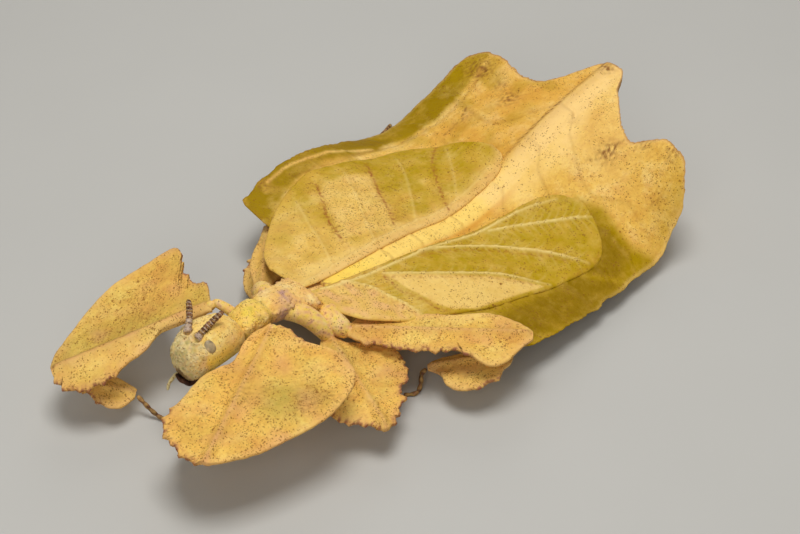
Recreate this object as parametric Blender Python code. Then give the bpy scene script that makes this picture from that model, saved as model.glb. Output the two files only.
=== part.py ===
# Leaf insect, adult female, life size, resting on its belly and feet.
# Frame: metres, +Z up, head towards -X, the insect's left side towards -Y.
# The origin is the flat of the belly on the floor, under the middle of the body.

import bpy
import bmesh
import math
import random
from mathutils import Vector

# Driving dimensions are written in millimetres and turned to metres in one place.
MM = 0.001
GAP = 0.3
SHEET = 0.6
WING_SHEET = 0.5
WING_CLEARANCE = 0.8
LEFT = -1
RIGHT = 1
TUBE_SIDES = 8
SEED = 7

# Midline of the back: x along the body, height above the floor.
BACK_LINE = [(-36, 12.5), (-31, 11.3), (-24, 10.6), (-17, 10.0), (-9.9, 9.1), (0, 7.5), (10.4, 9.6),
             (20, 13.9), (30, 16.6), (42.5, 18.9)]
# Half width of the leaf-shaped abdomen.
ABDOMEN_HALF = [(-31, 27), (-24.4, 27.2), (-14.5, 29.4), (-5, 29.9), (9.7, 29.4), (21.3, 28.8),
                (28.5, 28.1), (42, 28)]
# Height of the two side edges: the left side droops to the floor, the right stays up.
LEFT_EDGE = [(-31, 7.2), (-20, 6.6), (-14.5, 6.2), (-8.2, 5.3), (-0.6, 4.0), (8.6, 3.4), (18.3, 2.9),
             (21.5, 4.4), (24.6, 8.2), (28, 14.0), (31, 17.3), (42, 18.5)]
RIGHT_EDGE = [(-31, 10.6), (-24.4, 10.9), (-14.5, 11.5), (-5, 10.5), (2.8, 8.0), (9.7, 5.8), (14.8, 5.9),
              (21.3, 8.2), (28.5, 11.6), (33, 14.5), (42, 17)]
EDGE_DROOP_POWER = 1.6
# Front and tail ends of the abdomen by the share of the half width, right side first.
RIGHT_SHARES = [(0, -31, 42.4), (0.07, -31, 42.2), (0.14, -30.9, 39.5), (0.22, -30.4, 35.0),
                (0.30, -29.5, 32.3), (0.40, -28.2, 31.6), (0.50, -27.2, 32.0), (0.62, -26.5, 33.2),
                (0.75, -26.0, 34.2), (0.87, -25.6, 33.8), (0.95, -25.1, 32.2), (1.0, -24.4, 30.0)]
LEFT_SHARES = [(0, -31, 42.4), (0.07, -31, 41.8), (0.14, -30.9, 38.0), (0.22, -30.2, 35.5),
               (0.30, -28.4, 33.0), (0.40, -26.4, 30.3), (0.50, -24.2, 28.9), (0.58, -22.6, 29.9),
               (0.68, -20.9, 31.8), (0.80, -19.4, 31.2), (0.90, -18.2, 29.6), (1.0, -16.8, 26.0)]
SEGMENT_BORDERS = [0.19, 0.287, 0.422, 0.563, 0.694, 0.816]
ABDOMEN_STEPS = [0, 0.05, 0.12, 0.875, 0.935, 1]
BORDER_HALF = 0.012
BORDER_RISE = 0.3
MIDRIB_RISE = 0.35
# Depth of the body core under the back, and how it thins out sideways.
CORE_DEPTH = [(-31, 5.2), (-20, 7.6), (-8, 9.1), (0, 8.2), (6, 8.6), (12, 7.6), (20, 5.2), (30, 3.2),
              (42.5, 1.2)]
CORE_SPREAD = [(0, 1), (4.2, 1), (6.6, 0.5), (9, 0.12), (12, 0)]

# Forewings: inner and outer edges in plan, and where each raised vein leaves them.
LEFT_WING_INNER = [(-35.0, -0.7), (-30.4, -0.9), (-19.1, -2.3), (-2.7, -4.2), (4.3, -5.4), (10.7, -7.2),
                   (14.6, -10.2), (16.4, -13.6)]
LEFT_WING_OUTER = [(-35.0, -5.4), (-31.8, -10.2), (-27.0, -13.9), (-22.0, -16.6), (-12.3, -20.2),
                   (-1.4, -22.0), (6.5, -23.4), (11.6, -22.6), (14.8, -19.0), (16.5, -14.4)]
RIGHT_WING_INNER = [(-35.0, 0.7), (-30.0, 0.8), (-19.0, 0.9), (-2.7, 0.9), (6.0, 0.8), (11.8, 0.9),
                    (14.9, 2.8), (16.0, 6.0)]
RIGHT_WING_OUTER = [(-35.0, 8.4), (-32.4, 12.7), (-27.0, 17.4), (-22.0, 20.7), (-13.4, 24.0),
                    (-6.8, 23.8), (1.5, 22.4), (8.0, 20.4), (13.2, 14.4), (15.8, 8.0)]
# Share along the inner edge and along the outer edge for each side vein.
WING_VEINS = [(0.14, 0.27), (0.30, 0.47), (0.44, 0.64), (0.60, 0.80), (0.78, 0.92)]
VEIN_RISE = 0.35
VEIN_HALF = 0.011
MAIN_VEIN_SHARES = [0.10, 0.14, 0.18]
WING_COLUMNS = [0.34, 0.5, 0.67, 0.84, 1.0]

# Thorax rings: x, half width, top, bottom.
PROTHORAX = [(-49.3, 2.3, 15.1, 11.9), (-48.4, 2.9, 15.7, 11.5), (-46.8, 3.3, 16.2, 11.3),
             (-45.2, 3.3, 16.2, 11.4), (-44.3, 3.0, 15.9, 11.8)]
MESOTHORAX_FRONT = -44.0
MESOTHORAX_REAR = -35.3
MESOTHORAX_HALF = [(-44, 3.0), (-42.6, 3.3), (-40, 3.5), (-36.5, 4.7), (-35.3, 5.0)]
MESOTHORAX_TOP = [(-44, 15.8), (-41, 15.7), (-38, 14.8), (-35.3, 14.1)]
MESOTHORAX_BOTTOM = [(-44, 11.8), (-40, 11.0), (-35.3, 8.8)]
BODY_TAPER = 0.35
MESOTHORAX_TUBERCLES = 6
TUBERCLE = 0.5
METATHORAX = [(-35.0, 5.0, 12.2, 7.6), (-33.6, 5.6, 11.8, 6.6), (-32.2, 5.9, 11.5, 6.0),
              (-31.3, 5.5, 11.2, 5.8)]

# Head rings: x, middle height, half width, half height.
HEAD = [(-49.6, 13.3, 2.4, 2.0), (-50.2, 13.6, 2.9, 2.8), (-52.0, 14.2, 3.4, 3.4),
        (-54.8, 14.6, 3.9, 3.6), (-57.4, 14.3, 3.7, 3.5), (-59.4, 13.7, 3.2, 3.0),
        (-60.5, 13.2, 2.4, 2.3)]
HEAD_SIDES = 16
EYE_RADIUS = 1.15
EYE_PLACE = (-56.3, 2.9, 16.1)
ANTENNA_BASE = (-57.6, 1.1, 18.13)
ANTENNA_SOCKET = 1.35
ANTENNA_SEGMENTS = 9
ANTENNA_RADIUS = 0.52
ANTENNA_TIPS = {"left": (-52.6, -1.4, 20.0), "right": (-54.6, 4.1, 20.4)}
# Mouth: x, top, bottom, half width of the labrum and jaws, then a feeler's path on the +Y side.
MOUTH = [(-57.4, 10.4, 9.6, 1.0), (-58.4, 10.4, 9.1, 1.7), (-59.4, 10.4, 9.0, 1.6),
         (-60.3, 10.4, 9.6, 1.0)]
PALP_PATH = [(-58.8, 2.1, 9.6), (-59.7, 2.8, 9.0), (-60.9, 2.7, 8.3), (-61.5, 2.3, 7.7)]
PALP_RADII = [0.4, 0.42, 0.38, 0.28]
# Cercus on the +Y side, under the tail.
CERCUS_PATH = [(38.6, 1.5, 15.5), (40.2, 1.7, 16.0), (41.8, 1.9, 16.3)]
CERCUS_RADII = [0.5, 0.45, 0.2]

# Legs. Each plate is drawn in its own frame: along the limb, and out to each side.
FORE_FEMUR_PLUS = [(-0.9, 0.9), (-0.3, 3.0), (0.6, 4.6), (0.9, 7.5), (1.1, 10.3), (2.1, 12.6),
                   (3.7, 14.4), (6.5, 15.0), (9.5, 14.6), (12.5, 13.6), (16.8, 10.7), (21.8, 6.5),
                   (24.6, 3.2), (26.2, 0.6)]
FORE_FEMUR_MINUS = [(-0.9, 0.7), (-0.3, 1.1), (1.2, 2.3), (2.7, 2.9), (4.6, 3.2), (7.7, 3.4), (9.8, 5.3),
                    (12.0, 6.8), (15.6, 7.6), (19.1, 8.4), (21.4, 8.5), (23.3, 7.2), (24.4, 5.4),
                    (25.8, 3.6), (26.2, 0.6)]
FORE_RIGHT_FEMUR_PLUS = [(-0.2, 1.3), (-0.6, 4.3), (1.0, 5.9), (2.0, 8.4), (1.8, 11.6), (1.4, 15.2),
                         (5.4, 15.3), (11.5, 13.2), (17.4, 9.9), (22.0, 6.0), (24.8, 3.4), (26.0, 1.0)]
FORE_RIGHT_FEMUR_MINUS = [(0.2, 1.2), (4.5, 1.0), (8.2, 0.9), (9.4, 1.4), (11.1, 2.7), (13.0, 3.5),
                          (14.6, 3.9), (16.4, 4.8), (18.0, 5.2), (20.0, 5.4), (22.4, 5.2), (24.6, 4.0),
                          (26.0, 1.0)]
MID_FEMUR_PLUS = [(0.0, 1.2), (1.8, 1.9), (2.9, 3.8), (4.8, 6.4), (6.9, 8.6), (8.7, 8.3), (10.9, 8.0),
                  (12.4, 7.4), (12.9, 6.3), (14.4, 4.9), (15.9, 4.7), (17.2, 3.3), (18.8, 1.8),
                  (19.8, 0.6)]
MID_RIGHT_FEMUR_PLUS = [(0.0, 1.2), (3.0, 2.0), (7.0, 4.2), (12.0, 4.6), (16.4, 2.8), (19.4, 1.0)]
MID_RIGHT_FEMUR_MINUS = [(0.0, 1.2), (3.0, 1.6), (7.0, 2.4), (11.5, 2.2), (15.5, 1.4), (19.4, 0.9)]
MID_FEMUR_MINUS = [(0.0, 1.2), (2.6, 3.0), (8.5, 6.2), (13.2, 6.6), (15.6, 5.4), (17.0, 3.3), (18.4, 1.4),
                   (19.8, 0.6)]
HIND_FEMUR_PLUS = [(-0.2, 1.2), (1.6, 2.5), (7.8, 2.8), (12.5, 3.3), (17.2, 4.6), (20.4, 5.1),
                   (23.5, 4.7), (26.6, 3.0), (28.4, 0.9)]
HIND_FEMUR_MINUS = [(-0.2, 1.2), (1.8, 2.3), (4.9, 2.8), (8.0, 3.6), (12.5, 3.7), (16.4, 4.0),
                    (18.6, 5.2), (20.1, 6.4), (21.9, 6.9), (23.9, 5.9), (26.3, 3.2), (28.4, 0.9)]
FORE_TIBIA_PLUS = [(0.0, 0.9), (3.0, 1.3), (6.5, 2.6), (9.6, 3.6), (12.4, 3.0), (14.5, 0.8)]
FORE_TIBIA_MINUS = [(0.0, 0.9), (4.0, 1.5), (9.0, 2.2), (12.5, 1.5), (14.5, 0.8)]
MID_TIBIA_PLUS = [(0.0, 0.9), (3.0, 1.8), (7.0, 2.6), (10.5, 2.0), (12.5, 0.8)]
MID_TIBIA_MINUS = [(0.0, 0.9), (4.0, 1.4), (8.5, 2.2), (12.5, 0.8)]
HIND_TIBIA_PLUS = [(-0.5, 1.2), (0.4, 3.2), (3.2, 5.8), (7.1, 6.6), (9.9, 5.0), (10.8, 2.9), (12.2, 1.2),
                   (13.1, 0.6)]
HIND_TIBIA_MINUS = [(-0.5, 0.8), (1.6, 1.1), (4.0, 1.5), (6.4, 1.9), (11.0, 1.6), (13.1, 0.6)]
RIDGE_HALF = 1.2
FEMUR_RIDGE = 1.2
TIBIA_RIDGE = 0.75
UNDER_RIDGE = 0.65
TOOTH = 0.7
TIBIA_TEETH = ((0.2, 0.5), (2, 2))
TARSUS_RADII = [0.4, 0.45, 0.45, 0.5, 0.3]
ANKLE_GAP = 0.75
COXA_RADII = {"fore_left": [0.8, 0.95, 0.8], "fore_right": [1.0, 1.2, 0.9], "mid": [1.3, 1.6, 1.25],
              "hind": [1.0, 1.15, 0.9]}

# Joints of each leg in the resting pose: hip, knee, tibia start, ankle, then the foot's points.
LEG_PLACES = {
    "fore_left": dict(coxa=[(-46.0, -3.2, 12.3), (-47.0, -4.4, 12.5), (-48.0, -5.6, 12.6)],
                      hip=(-46.3, -4.9, 14.7), knee=(-69.6, -16.1, 11.1), up=(-0.13, -0.10, 0.98),
                      shin=(-66.8, -15.2, 9.6), ankle=(-62.8, -3.4, 5.2),
                      foot=[(-62.0, -2.2, 3.0), (-60.8, -1.0, 1.2), (-59.2, 0.2, 0.36),
                            (-57.6, 1.0, 0.26)]),
    "fore_right": dict(coxa=[(-46.9, 3.5, 13.3), (-47.3, 4.8, 13.8), (-47.8, 6.2, 14.2)],
                       hip=(-48.6, 6.6, 14.0), knee=(-71.4, 17.6, 8.2), up=(-0.22, 0.02, 0.97),
                       shin=(-69.2, 16.2, 6.2), ankle=(-62.9, 8.8, 3.6),
                       foot=[(-62.6, 7.6, 2.6), (-62.2, 6.2, 1.4), (-61.6, 4.6, 0.38),
                             (-61.0, 3.2, 0.26)]),
    "mid_left": dict(coxa=[(-38.4, -3.9, 10.4), (-37.6, -4.8, 9.7), (-36.7, -5.6, 9.0)],
                     hip=(-36.9, -6.9, 8.4), knee=(-43.0, -25.5, 5.4), up=(0.0, -0.1, 0.99),
                     shin=(-41.6, -22.8, 4.1), ankle=(-36.6, -14.2, 2.7),
                     foot=[(-35.8, -12.9, 2.0), (-35.0, -11.4, 1.1), (-34.1, -9.6, 0.38),
                           (-33.4, -8.0, 0.26)]),
    "mid_right": dict(coxa=[(-38.4, 3.8, 10.4), (-38.2, 5.3, 9.8), (-38.1, 6.9, 9.3)],
                      hip=(-37.4, 7.8, 9.2), knee=(-24.0, 20.8, 7.8), up=(0.0, 0.0, 1.0),
                      shin=(-26.4, 19.6, 5.0), ankle=(-34.6, 13.0, 3.2),
                      foot=[(-35.6, 12.1, 2.2), (-37.0, 10.9, 1.1), (-38.4, 9.4, 0.38),
                            (-39.2, 7.8, 0.26)]),
    "hind_left": dict(coxa=[(-33.3, -5.6, 9.3), (-34.3, -6.8, 9.8), (-35.2, -8.1, 10.0)],
                      hip=(-34.6, -9.2, 9.6), knee=(-15.2, -30.0, 9.0), up=(0.03, -0.02, 1.0),
                      shin=(-18.6, -28.4, 6.6), ankle=(-27.1, -19.0, 3.2),
                      foot=[(-28.2, -18.7, 2.4), (-29.2, -19.4, 1.1), (-30.4, -19.6, 0.38),
                            (-32.0, -18.4, 0.26)]),
    "hind_right": dict(coxa=[(-33.5, 4.9, 8.2), (-34.5, 6.4, 7.7), (-35.2, 7.7, 7.1)],
                       hip=(-33.8, 8.8, 6.6), knee=(-9.0, 24.4, 4.6), up=(0.0, 0.0, 1.0),
                       shin=(-10.4, 24.6, 2.9), ankle=(5.6, 30.4, 1.5),
                       foot=[(7.6, 31.1, 0.9), (12.0, 32.6, 0.38), (16.0, 34.0, 0.32),
                             (20.4, 35.4, 0.26)]),
}
LEG_SHAPES = {
    "fore": dict(femur=(FORE_FEMUR_PLUS, FORE_FEMUR_MINUS), femur_rows=30,
                 plus_teeth=(0.0, 0.14), minus_teeth=(0.62, 0.98),
                 tibia=(FORE_TIBIA_PLUS, FORE_TIBIA_MINUS)),
    "fore_right": dict(femur=(FORE_RIGHT_FEMUR_PLUS, FORE_RIGHT_FEMUR_MINUS), femur_rows=30,
                       plus_teeth=(0.05, 0.34), minus_teeth=(0.6, 0.98),
                       tibia=(FORE_TIBIA_PLUS, FORE_TIBIA_MINUS)),
    "mid_right": dict(femur=(MID_RIGHT_FEMUR_PLUS, MID_RIGHT_FEMUR_MINUS), femur_rows=24,
                      plus_teeth=(2, 2), minus_teeth=(2, 2),
                      tibia=(MID_TIBIA_PLUS, MID_TIBIA_MINUS)),
    "mid": dict(femur=(MID_FEMUR_PLUS, MID_FEMUR_MINUS), femur_rows=24,
                plus_teeth=(0.3, 0.98), minus_teeth=(0.6, 0.98),
                tibia=(MID_TIBIA_PLUS, MID_TIBIA_MINUS)),
    "hind": dict(femur=(HIND_FEMUR_PLUS, HIND_FEMUR_MINUS), femur_rows=26,
                 plus_teeth=(2, 2), minus_teeth=(0.1, 0.62),
                 tibia=(HIND_TIBIA_PLUS, HIND_TIBIA_MINUS)),
}
TIBIA_ROWS = 12

COLOURS = {
    "skin": ((0.78, 0.50, 0.10), 0.55),
    "wing": ((0.62, 0.46, 0.08), 0.5),
    "thorax": ((0.76, 0.56, 0.20), 0.6),
    "dark": ((0.13, 0.06, 0.03), 0.5),
    "eye": ((0.30, 0.29, 0.28), 0.25),
    "pale": ((0.72, 0.60, 0.42), 0.6),
}


def clear_scene():
    for item in list(bpy.data.objects):
        bpy.data.objects.remove(item, do_unlink=True)


def material(kind):
    found = bpy.data.materials.get(kind)
    if found:
        return found
    colour, roughness = COLOURS[kind]
    made = bpy.data.materials.new(kind)
    made.use_nodes = True
    shader = made.node_tree.nodes["Principled BSDF"]
    shader.inputs["Base Color"].default_value = (*colour, 1)
    shader.inputs["Roughness"].default_value = roughness
    shader.inputs["Metallic"].default_value = 0
    return made


def solid(name, points, triangles, kind):
    mesh = bpy.data.meshes.new(name)
    mesh.from_pydata([Vector(point) * MM for point in points], [], triangles)
    work = bmesh.new()
    work.from_mesh(mesh)
    bmesh.ops.recalc_face_normals(work, faces=work.faces)
    work.to_mesh(mesh)
    work.free()
    mesh.materials.append(material(kind))
    mesh.shade_smooth()
    mesh.set_sharp_from_angle(angle=math.radians(35))
    made = bpy.data.objects.new(name, mesh)
    bpy.context.collection.objects.link(made)
    return made


def through(table, x):
    """Smooth curve through a table of (x, value), held level past its ends."""
    if x <= table[0][0]:
        return table[0][1]
    if x >= table[-1][0]:
        return table[-1][1]
    place = next(i for i in range(1, len(table)) if x <= table[i][0])
    before = table[max(place - 2, 0)]
    start = table[place - 1]
    end = table[place]
    after = table[min(place + 1, len(table) - 1)]
    width = end[0] - start[0]
    slope_start = (end[1] - before[1]) / (end[0] - before[0])
    slope_end = (after[1] - start[1]) / (after[0] - start[0])
    t = (x - start[0]) / width
    return ((2 * t ** 3 - 3 * t ** 2 + 1) * start[1] + (t ** 3 - 2 * t ** 2 + t) * width * slope_start
            + (3 * t ** 2 - 2 * t ** 3) * end[1] + (t ** 3 - t ** 2) * width * slope_end)


def spread(points, count, shares=None):
    """Points at equal steps, or at given shares, along a smooth curve through the given points."""
    ends = [points[0]] + list(points) + [points[-1]]
    fine = []
    for i in range(1, len(ends) - 2):
        a, b, c, d = (Vector(ends[k]) for k in range(i - 1, i + 3))
        for step in range(8):
            t = step / 8
            fine.append(0.5 * (2 * b + (c - a) * t + (2 * a - 5 * b + 4 * c - d) * t * t
                               + (3 * b - a - 3 * c + d) * t ** 3))
    fine.append(Vector(points[-1]))
    lengths = [0.0]
    for i in range(1, len(fine)):
        lengths.append(lengths[-1] + (fine[i] - fine[i - 1]).length)
    shares = shares or [i / count for i in range(count + 1)]
    found = []
    for share in shares:
        target = share * lengths[-1]
        i = next((k for k in range(1, len(fine)) if lengths[k] >= target - 1e-9), len(fine) - 1)
        part = (target - lengths[i - 1]) / (lengths[i] - lengths[i - 1])
        found.append(fine[i - 1].lerp(fine[i], part))
    return found


def slab(name, top, bottom, kind):
    """Closed plate between two grids of points, split into triangles alike on both faces."""
    rows = len(top)
    columns = len(top[0])
    points = [p for row in top for p in row] + [p for row in bottom for p in row]
    under = rows * columns
    triangles = []
    for i in range(rows - 1):
        for j in range(columns - 1):
            a = i * columns + j
            b = a + 1
            c = a + columns
            d = c + 1
            for corner in ((a, c, d), (a, d, b)):
                triangles.append(corner)
                triangles.append(tuple(under + k for k in reversed(corner)))
    rim = [j for j in range(columns)]
    rim += [i * columns + columns - 1 for i in range(1, rows)]
    rim += [(rows - 1) * columns + j for j in range(columns - 2, -1, -1)]
    rim += [i * columns for i in range(rows - 2, 0, -1)]
    for k, a in enumerate(rim):
        b = rim[(k + 1) % len(rim)]
        triangles.append((a, b, under + b))
        triangles.append((a, under + b, under + a))
    return solid(name, points, triangles, kind)


def loft(name, rings, kind):
    """Closed body through rings of equal count, with a fan at each end."""
    sides = len(rings[0])
    points = [p for ring in rings for p in ring]
    triangles = []
    for i in range(len(rings) - 1):
        for j in range(sides):
            a = i * sides + j
            b = i * sides + (j + 1) % sides
            triangles.append((a, b, b + sides))
            triangles.append((a, b + sides, a + sides))
    for ring, turn in ((0, -1), (len(rings) - 1, 1)):
        middle = sum((Vector(p) for p in rings[ring]), Vector()) / sides
        points.append(middle)
        for j in range(sides):
            pair = (ring * sides + j, ring * sides + (j + 1) % sides)
            triangles.append((*pair[::turn], len(points) - 1))
    return solid(name, points, triangles, kind)


def tube(name, path, radii, kind, sides=TUBE_SIDES, floor=None):
    """Tapered tube through the points. It is pressed flat where it would pass the floor."""
    rings = []
    path = [Vector(p) for p in path]
    for i, point in enumerate(path):
        along = (path[min(i + 1, len(path) - 1)] - path[max(i - 1, 0)]).normalized()
        side = along.cross(Vector((0, 0, 1)))
        side = side.normalized() if side.length > 0.1 else Vector((0, 1, 0))
        up = side.cross(along).normalized()
        ring = []
        for j in range(sides):
            angle = 2 * math.pi * (j + 0.5) / sides
            place = point + radii[i] * (math.cos(angle) * side + math.sin(angle) * up)
            if floor is not None:
                place.z = max(place.z, floor)
            ring.append(place)
        rings.append(ring)
    return loft(name, rings, kind)


def edge_height(x, y):
    table = RIGHT_EDGE if y > 0 else LEFT_EDGE
    return through(table, x)


def back_height(x, y):
    share = min(1.0, abs(y) / through(ABDOMEN_HALF, x))
    middle = through(BACK_LINE, x)
    return middle + (edge_height(x, y) - middle) * share ** EDGE_DROOP_POWER


def abdomen():
    """Leaf-shaped abdomen: a thin lobed leaf with the body core along its middle."""
    shares = [(-s, front, end) for s, front, end in reversed(LEFT_SHARES[1:])] + RIGHT_SHARES
    steps = list(ABDOMEN_STEPS)
    for k, border in enumerate(SEGMENT_BORDERS):
        steps += [border - BORDER_HALF, border, border + BORDER_HALF]
        if k + 1 < len(SEGMENT_BORDERS):
            steps.append((border + SEGMENT_BORDERS[k + 1]) / 2)
    top = []
    bottom = []
    for t in sorted(steps):
        upper = []
        lower = []
        for share, front, end in shares:
            x = front + (end - front) * t
            y = share * through(ABDOMEN_HALF, x)
            height = back_height(x, y)
            core = through(CORE_DEPTH, x) * through(CORE_SPREAD, abs(y))
            floor = max(0.0, height - max(SHEET, core))
            if t in SEGMENT_BORDERS and 0.2 < abs(share) < 0.94:
                height += BORDER_RISE
            if abs(share) < 0.1:
                height += MIDRIB_RISE
            upper.append((x, y, height))
            lower.append((x, y, floor))
        top.append(upper)
        bottom.append(lower)
    return slab("abdomen", top, bottom, "skin")


def wing(name, inner, outer):
    """Forewing: a thin sheet over the back with its main vein and side veins raised."""
    inner_shares = []
    outer_shares = []
    raised = []
    stops = [(0.0, 0.0)] + WING_VEINS + [(1.0, 1.0)]
    for k, (here_in, here_out) in enumerate(stops):
        if 0 < k < len(stops) - 1:
            for shift in (-1, 0, 1):
                inner_shares.append(here_in + shift * VEIN_HALF)
                outer_shares.append(here_out + shift * VEIN_HALF)
                raised.append(shift == 0)
        else:
            inner_shares.append(here_in)
            outer_shares.append(here_out)
            raised.append(False)
        if k < len(stops) - 1:
            for part in (1 / 3, 2 / 3):
                inner_shares.append(here_in + (stops[k + 1][0] - here_in) * part)
                outer_shares.append(here_out + (stops[k + 1][1] - here_out) * part)
                raised.append(False)
    inside = spread(inner, 0, inner_shares)
    outside = spread(outer, 0, outer_shares)
    columns = [0.0] + MAIN_VEIN_SHARES + WING_COLUMNS
    top = []
    bottom = []
    for row, (a, b) in enumerate(zip(inside, outside)):
        upper = []
        lower = []
        for share in columns:
            x, y = a.lerp(b, share)
            height = back_height(x, y) + WING_CLEARANCE
            vein = VEIN_RISE if share == MAIN_VEIN_SHARES[1] or (raised[row] and share < 0.9) else 0
            upper.append((x, y, height + WING_SHEET + vein))
            lower.append((x, y, height))
        top.append(upper)
        bottom.append(lower)
    return slab(name, top, bottom, "wing")


def body_ring(x, half, top, bottom, sides=14, side_push=0.0):
    """Cross-section of the thorax: rounded, a little flat above and below."""
    ring = []
    middle = (top + bottom) / 2
    reach = (top - bottom) / 2
    for j in range(sides):
        angle = 2 * math.pi * (j + 0.5) / sides
        c = math.cos(angle)
        s = math.sin(angle)
        y = half * math.copysign(abs(c) ** 0.8, c) * (1 - BODY_TAPER * (1 - s) / 2)
        z = middle + reach * math.copysign(abs(s) ** 0.8, s)
        if abs(c) > 0.9 and s > 0:
            y += math.copysign(side_push, c)
        ring.append((x, y, z))
    return ring


def thorax():
    loft("prothorax", [body_ring(*station) for station in PROTHORAX], "thorax")
    rings = []
    count = 2 * MESOTHORAX_TUBERCLES
    for i in range(count + 1):
        x = MESOTHORAX_FRONT + (MESOTHORAX_REAR - MESOTHORAX_FRONT) * i / count
        push = TUBERCLE if i % 2 else 0.0
        rings.append(body_ring(x, through(MESOTHORAX_HALF, x), through(MESOTHORAX_TOP, x),
                               through(MESOTHORAX_BOTTOM, x), side_push=push))
    loft("mesothorax", rings, "thorax")
    loft("metathorax", [body_ring(*station) for station in METATHORAX], "thorax")


def ball(name, centre, radius, kind, segments=16, rings=10):
    mesh = bpy.data.meshes.new(name)
    work = bmesh.new()
    bmesh.ops.create_uvsphere(work, u_segments=segments, v_segments=rings, radius=radius * MM)
    bmesh.ops.translate(work, verts=work.verts, vec=Vector(centre) * MM)
    bmesh.ops.triangulate(work, faces=work.faces)
    work.to_mesh(mesh)
    work.free()
    mesh.materials.append(material(kind))
    mesh.shade_smooth()
    made = bpy.data.objects.new(name, mesh)
    bpy.context.collection.objects.link(made)
    return made


def cut(target, centre, radius):
    """Rounded socket in the target, as a finished cut."""
    cutter = ball("cutter", centre, radius, "eye")
    cutter.hide_render = True
    cutter.display_type = "WIRE"
    change = target.modifiers.new("socket", "BOOLEAN")
    change.operation = "DIFFERENCE"
    change.solver = "EXACT"
    change.object = cutter
    seen = target.evaluated_get(bpy.context.evaluated_depsgraph_get())
    finished = bpy.data.meshes.new_from_object(seen)
    target.modifiers.clear()
    target.data = finished
    bpy.data.objects.remove(cutter, do_unlink=True)


def head():
    """Head capsule with a socket for each eye and antenna."""
    rings = []
    for x, middle, half, reach in HEAD:
        ring = []
        for j in range(HEAD_SIDES):
            angle = 2 * math.pi * (j + 0.5) / HEAD_SIDES
            ring.append((x, half * math.cos(angle), middle + reach * math.sin(angle)))
        rings.append(ring)
    capsule = loft("head", rings, "pale")
    for name, side in (("left", LEFT), ("right", RIGHT)):
        x, y, z = EYE_PLACE
        ball("eye_" + name, (x, side * y, z), EYE_RADIUS, "eye")
        cut(capsule, (x, side * y, z), EYE_RADIUS + GAP)
        x, y, z = ANTENNA_BASE
        cut(capsule, (x, side * y, z), ANTENNA_SOCKET)


def antenna(name, side, tip):
    """Short antenna of nine segments: a wide first one, then a thin jointed rod."""
    x, y, z = ANTENNA_BASE
    base = Vector((x, side * y, z))
    reach = Vector(tip) - base
    path = []
    radii = []
    for i in range(ANTENNA_SEGMENTS):
        start = i / ANTENNA_SEGMENTS
        size = ANTENNA_RADIUS * (1.6 if i == 0 else 1.15 if i == 1 else 1.0 - 0.03 * i)
        path += [base + reach * (start + 0.01), base + reach * (start + 0.055), base + reach * (start + 0.1)]
        radii += [size * 0.75, size, size * 0.8]
    tube(name, path, radii, "dark", sides=6)


def mouth():
    """Labrum with the jaws behind it, and a pair of feelers at the mouth."""
    loft("mouthparts", [body_ring(x, half, top, bottom, sides=10) for x, top, bottom, half in MOUTH], "pale")
    for name, side in (("left", LEFT), ("right", RIGHT)):
        tube("palp_" + name, [(x, side * y, z) for x, y, z in PALP_PATH], PALP_RADII, "pale", sides=6)


def cerci():
    for name, side in (("left", LEFT), ("right", RIGHT)):
        tube("cercus_" + name, [(x, side * y, z) for x, y, z in CERCUS_PATH], CERCUS_RADII, "skin", sides=6)


def toothed(points, span, size, rng):
    """Pushes every other edge point outward within a span of the edge."""
    moved = [p.copy() for p in points]
    last = len(points) - 1
    for i in range(1, last):
        if i % 2 and span[0] <= i / last <= span[1]:
            along = points[i + 1] - points[i - 1]
            out = Vector((-along.y, along.x)).normalized()
            moved[i] += out * size * rng.uniform(0.7, 1.2)
    return moved


def limb(name, start, end, up, side, edges, rows, ridge, teeth, rng):
    """Flattened limb: a ridge along its axis, and a thin lobe out to each side."""
    start = Vector(start)
    end = Vector(end)
    along = (end - start).normalized()
    normal = Vector(up)
    normal = (normal - along * normal.dot(along)).normalized()
    across = normal.cross(along) * (1 if side == LEFT else -1)
    reach = edges[0][-1][0]
    stretch = (end - start).length / reach
    plus = toothed(spread(edges[0], rows), teeth[0], TOOTH, rng)
    minus = toothed(spread(edges[1], rows), teeth[1], TOOTH, rng)
    top = []
    bottom = []
    for i in range(rows + 1):
        axis = Vector((reach * i / rows, 0))
        places = []
        for edge, turn in ((plus[i], 1), (minus[i], -1)):
            rim = Vector((edge.x, turn * edge.y))
            width = max(edge.y, 0.1)
            foot = min(RIDGE_HALF / width, 0.5)
            places.append([(axis.lerp(rim, share), lift) for share, lift in
                           ((1, SHEET / 2), (0.5 + foot / 2, SHEET / 2), (foot, SHEET / 2 + 0.1))])
        line = places[0] + [(axis, ridge)] + places[1][::-1]
        for grid, turn in ((top, 1), (bottom, -1)):
            keel = ridge if turn > 0 else UNDER_RIDGE * ridge
            grid.append([start + along * (p.x * stretch) + across * p.y + normal * (turn * min(lift, keel))
                         for p, lift in line])
    return slab(name, top, bottom, "skin")


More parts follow.
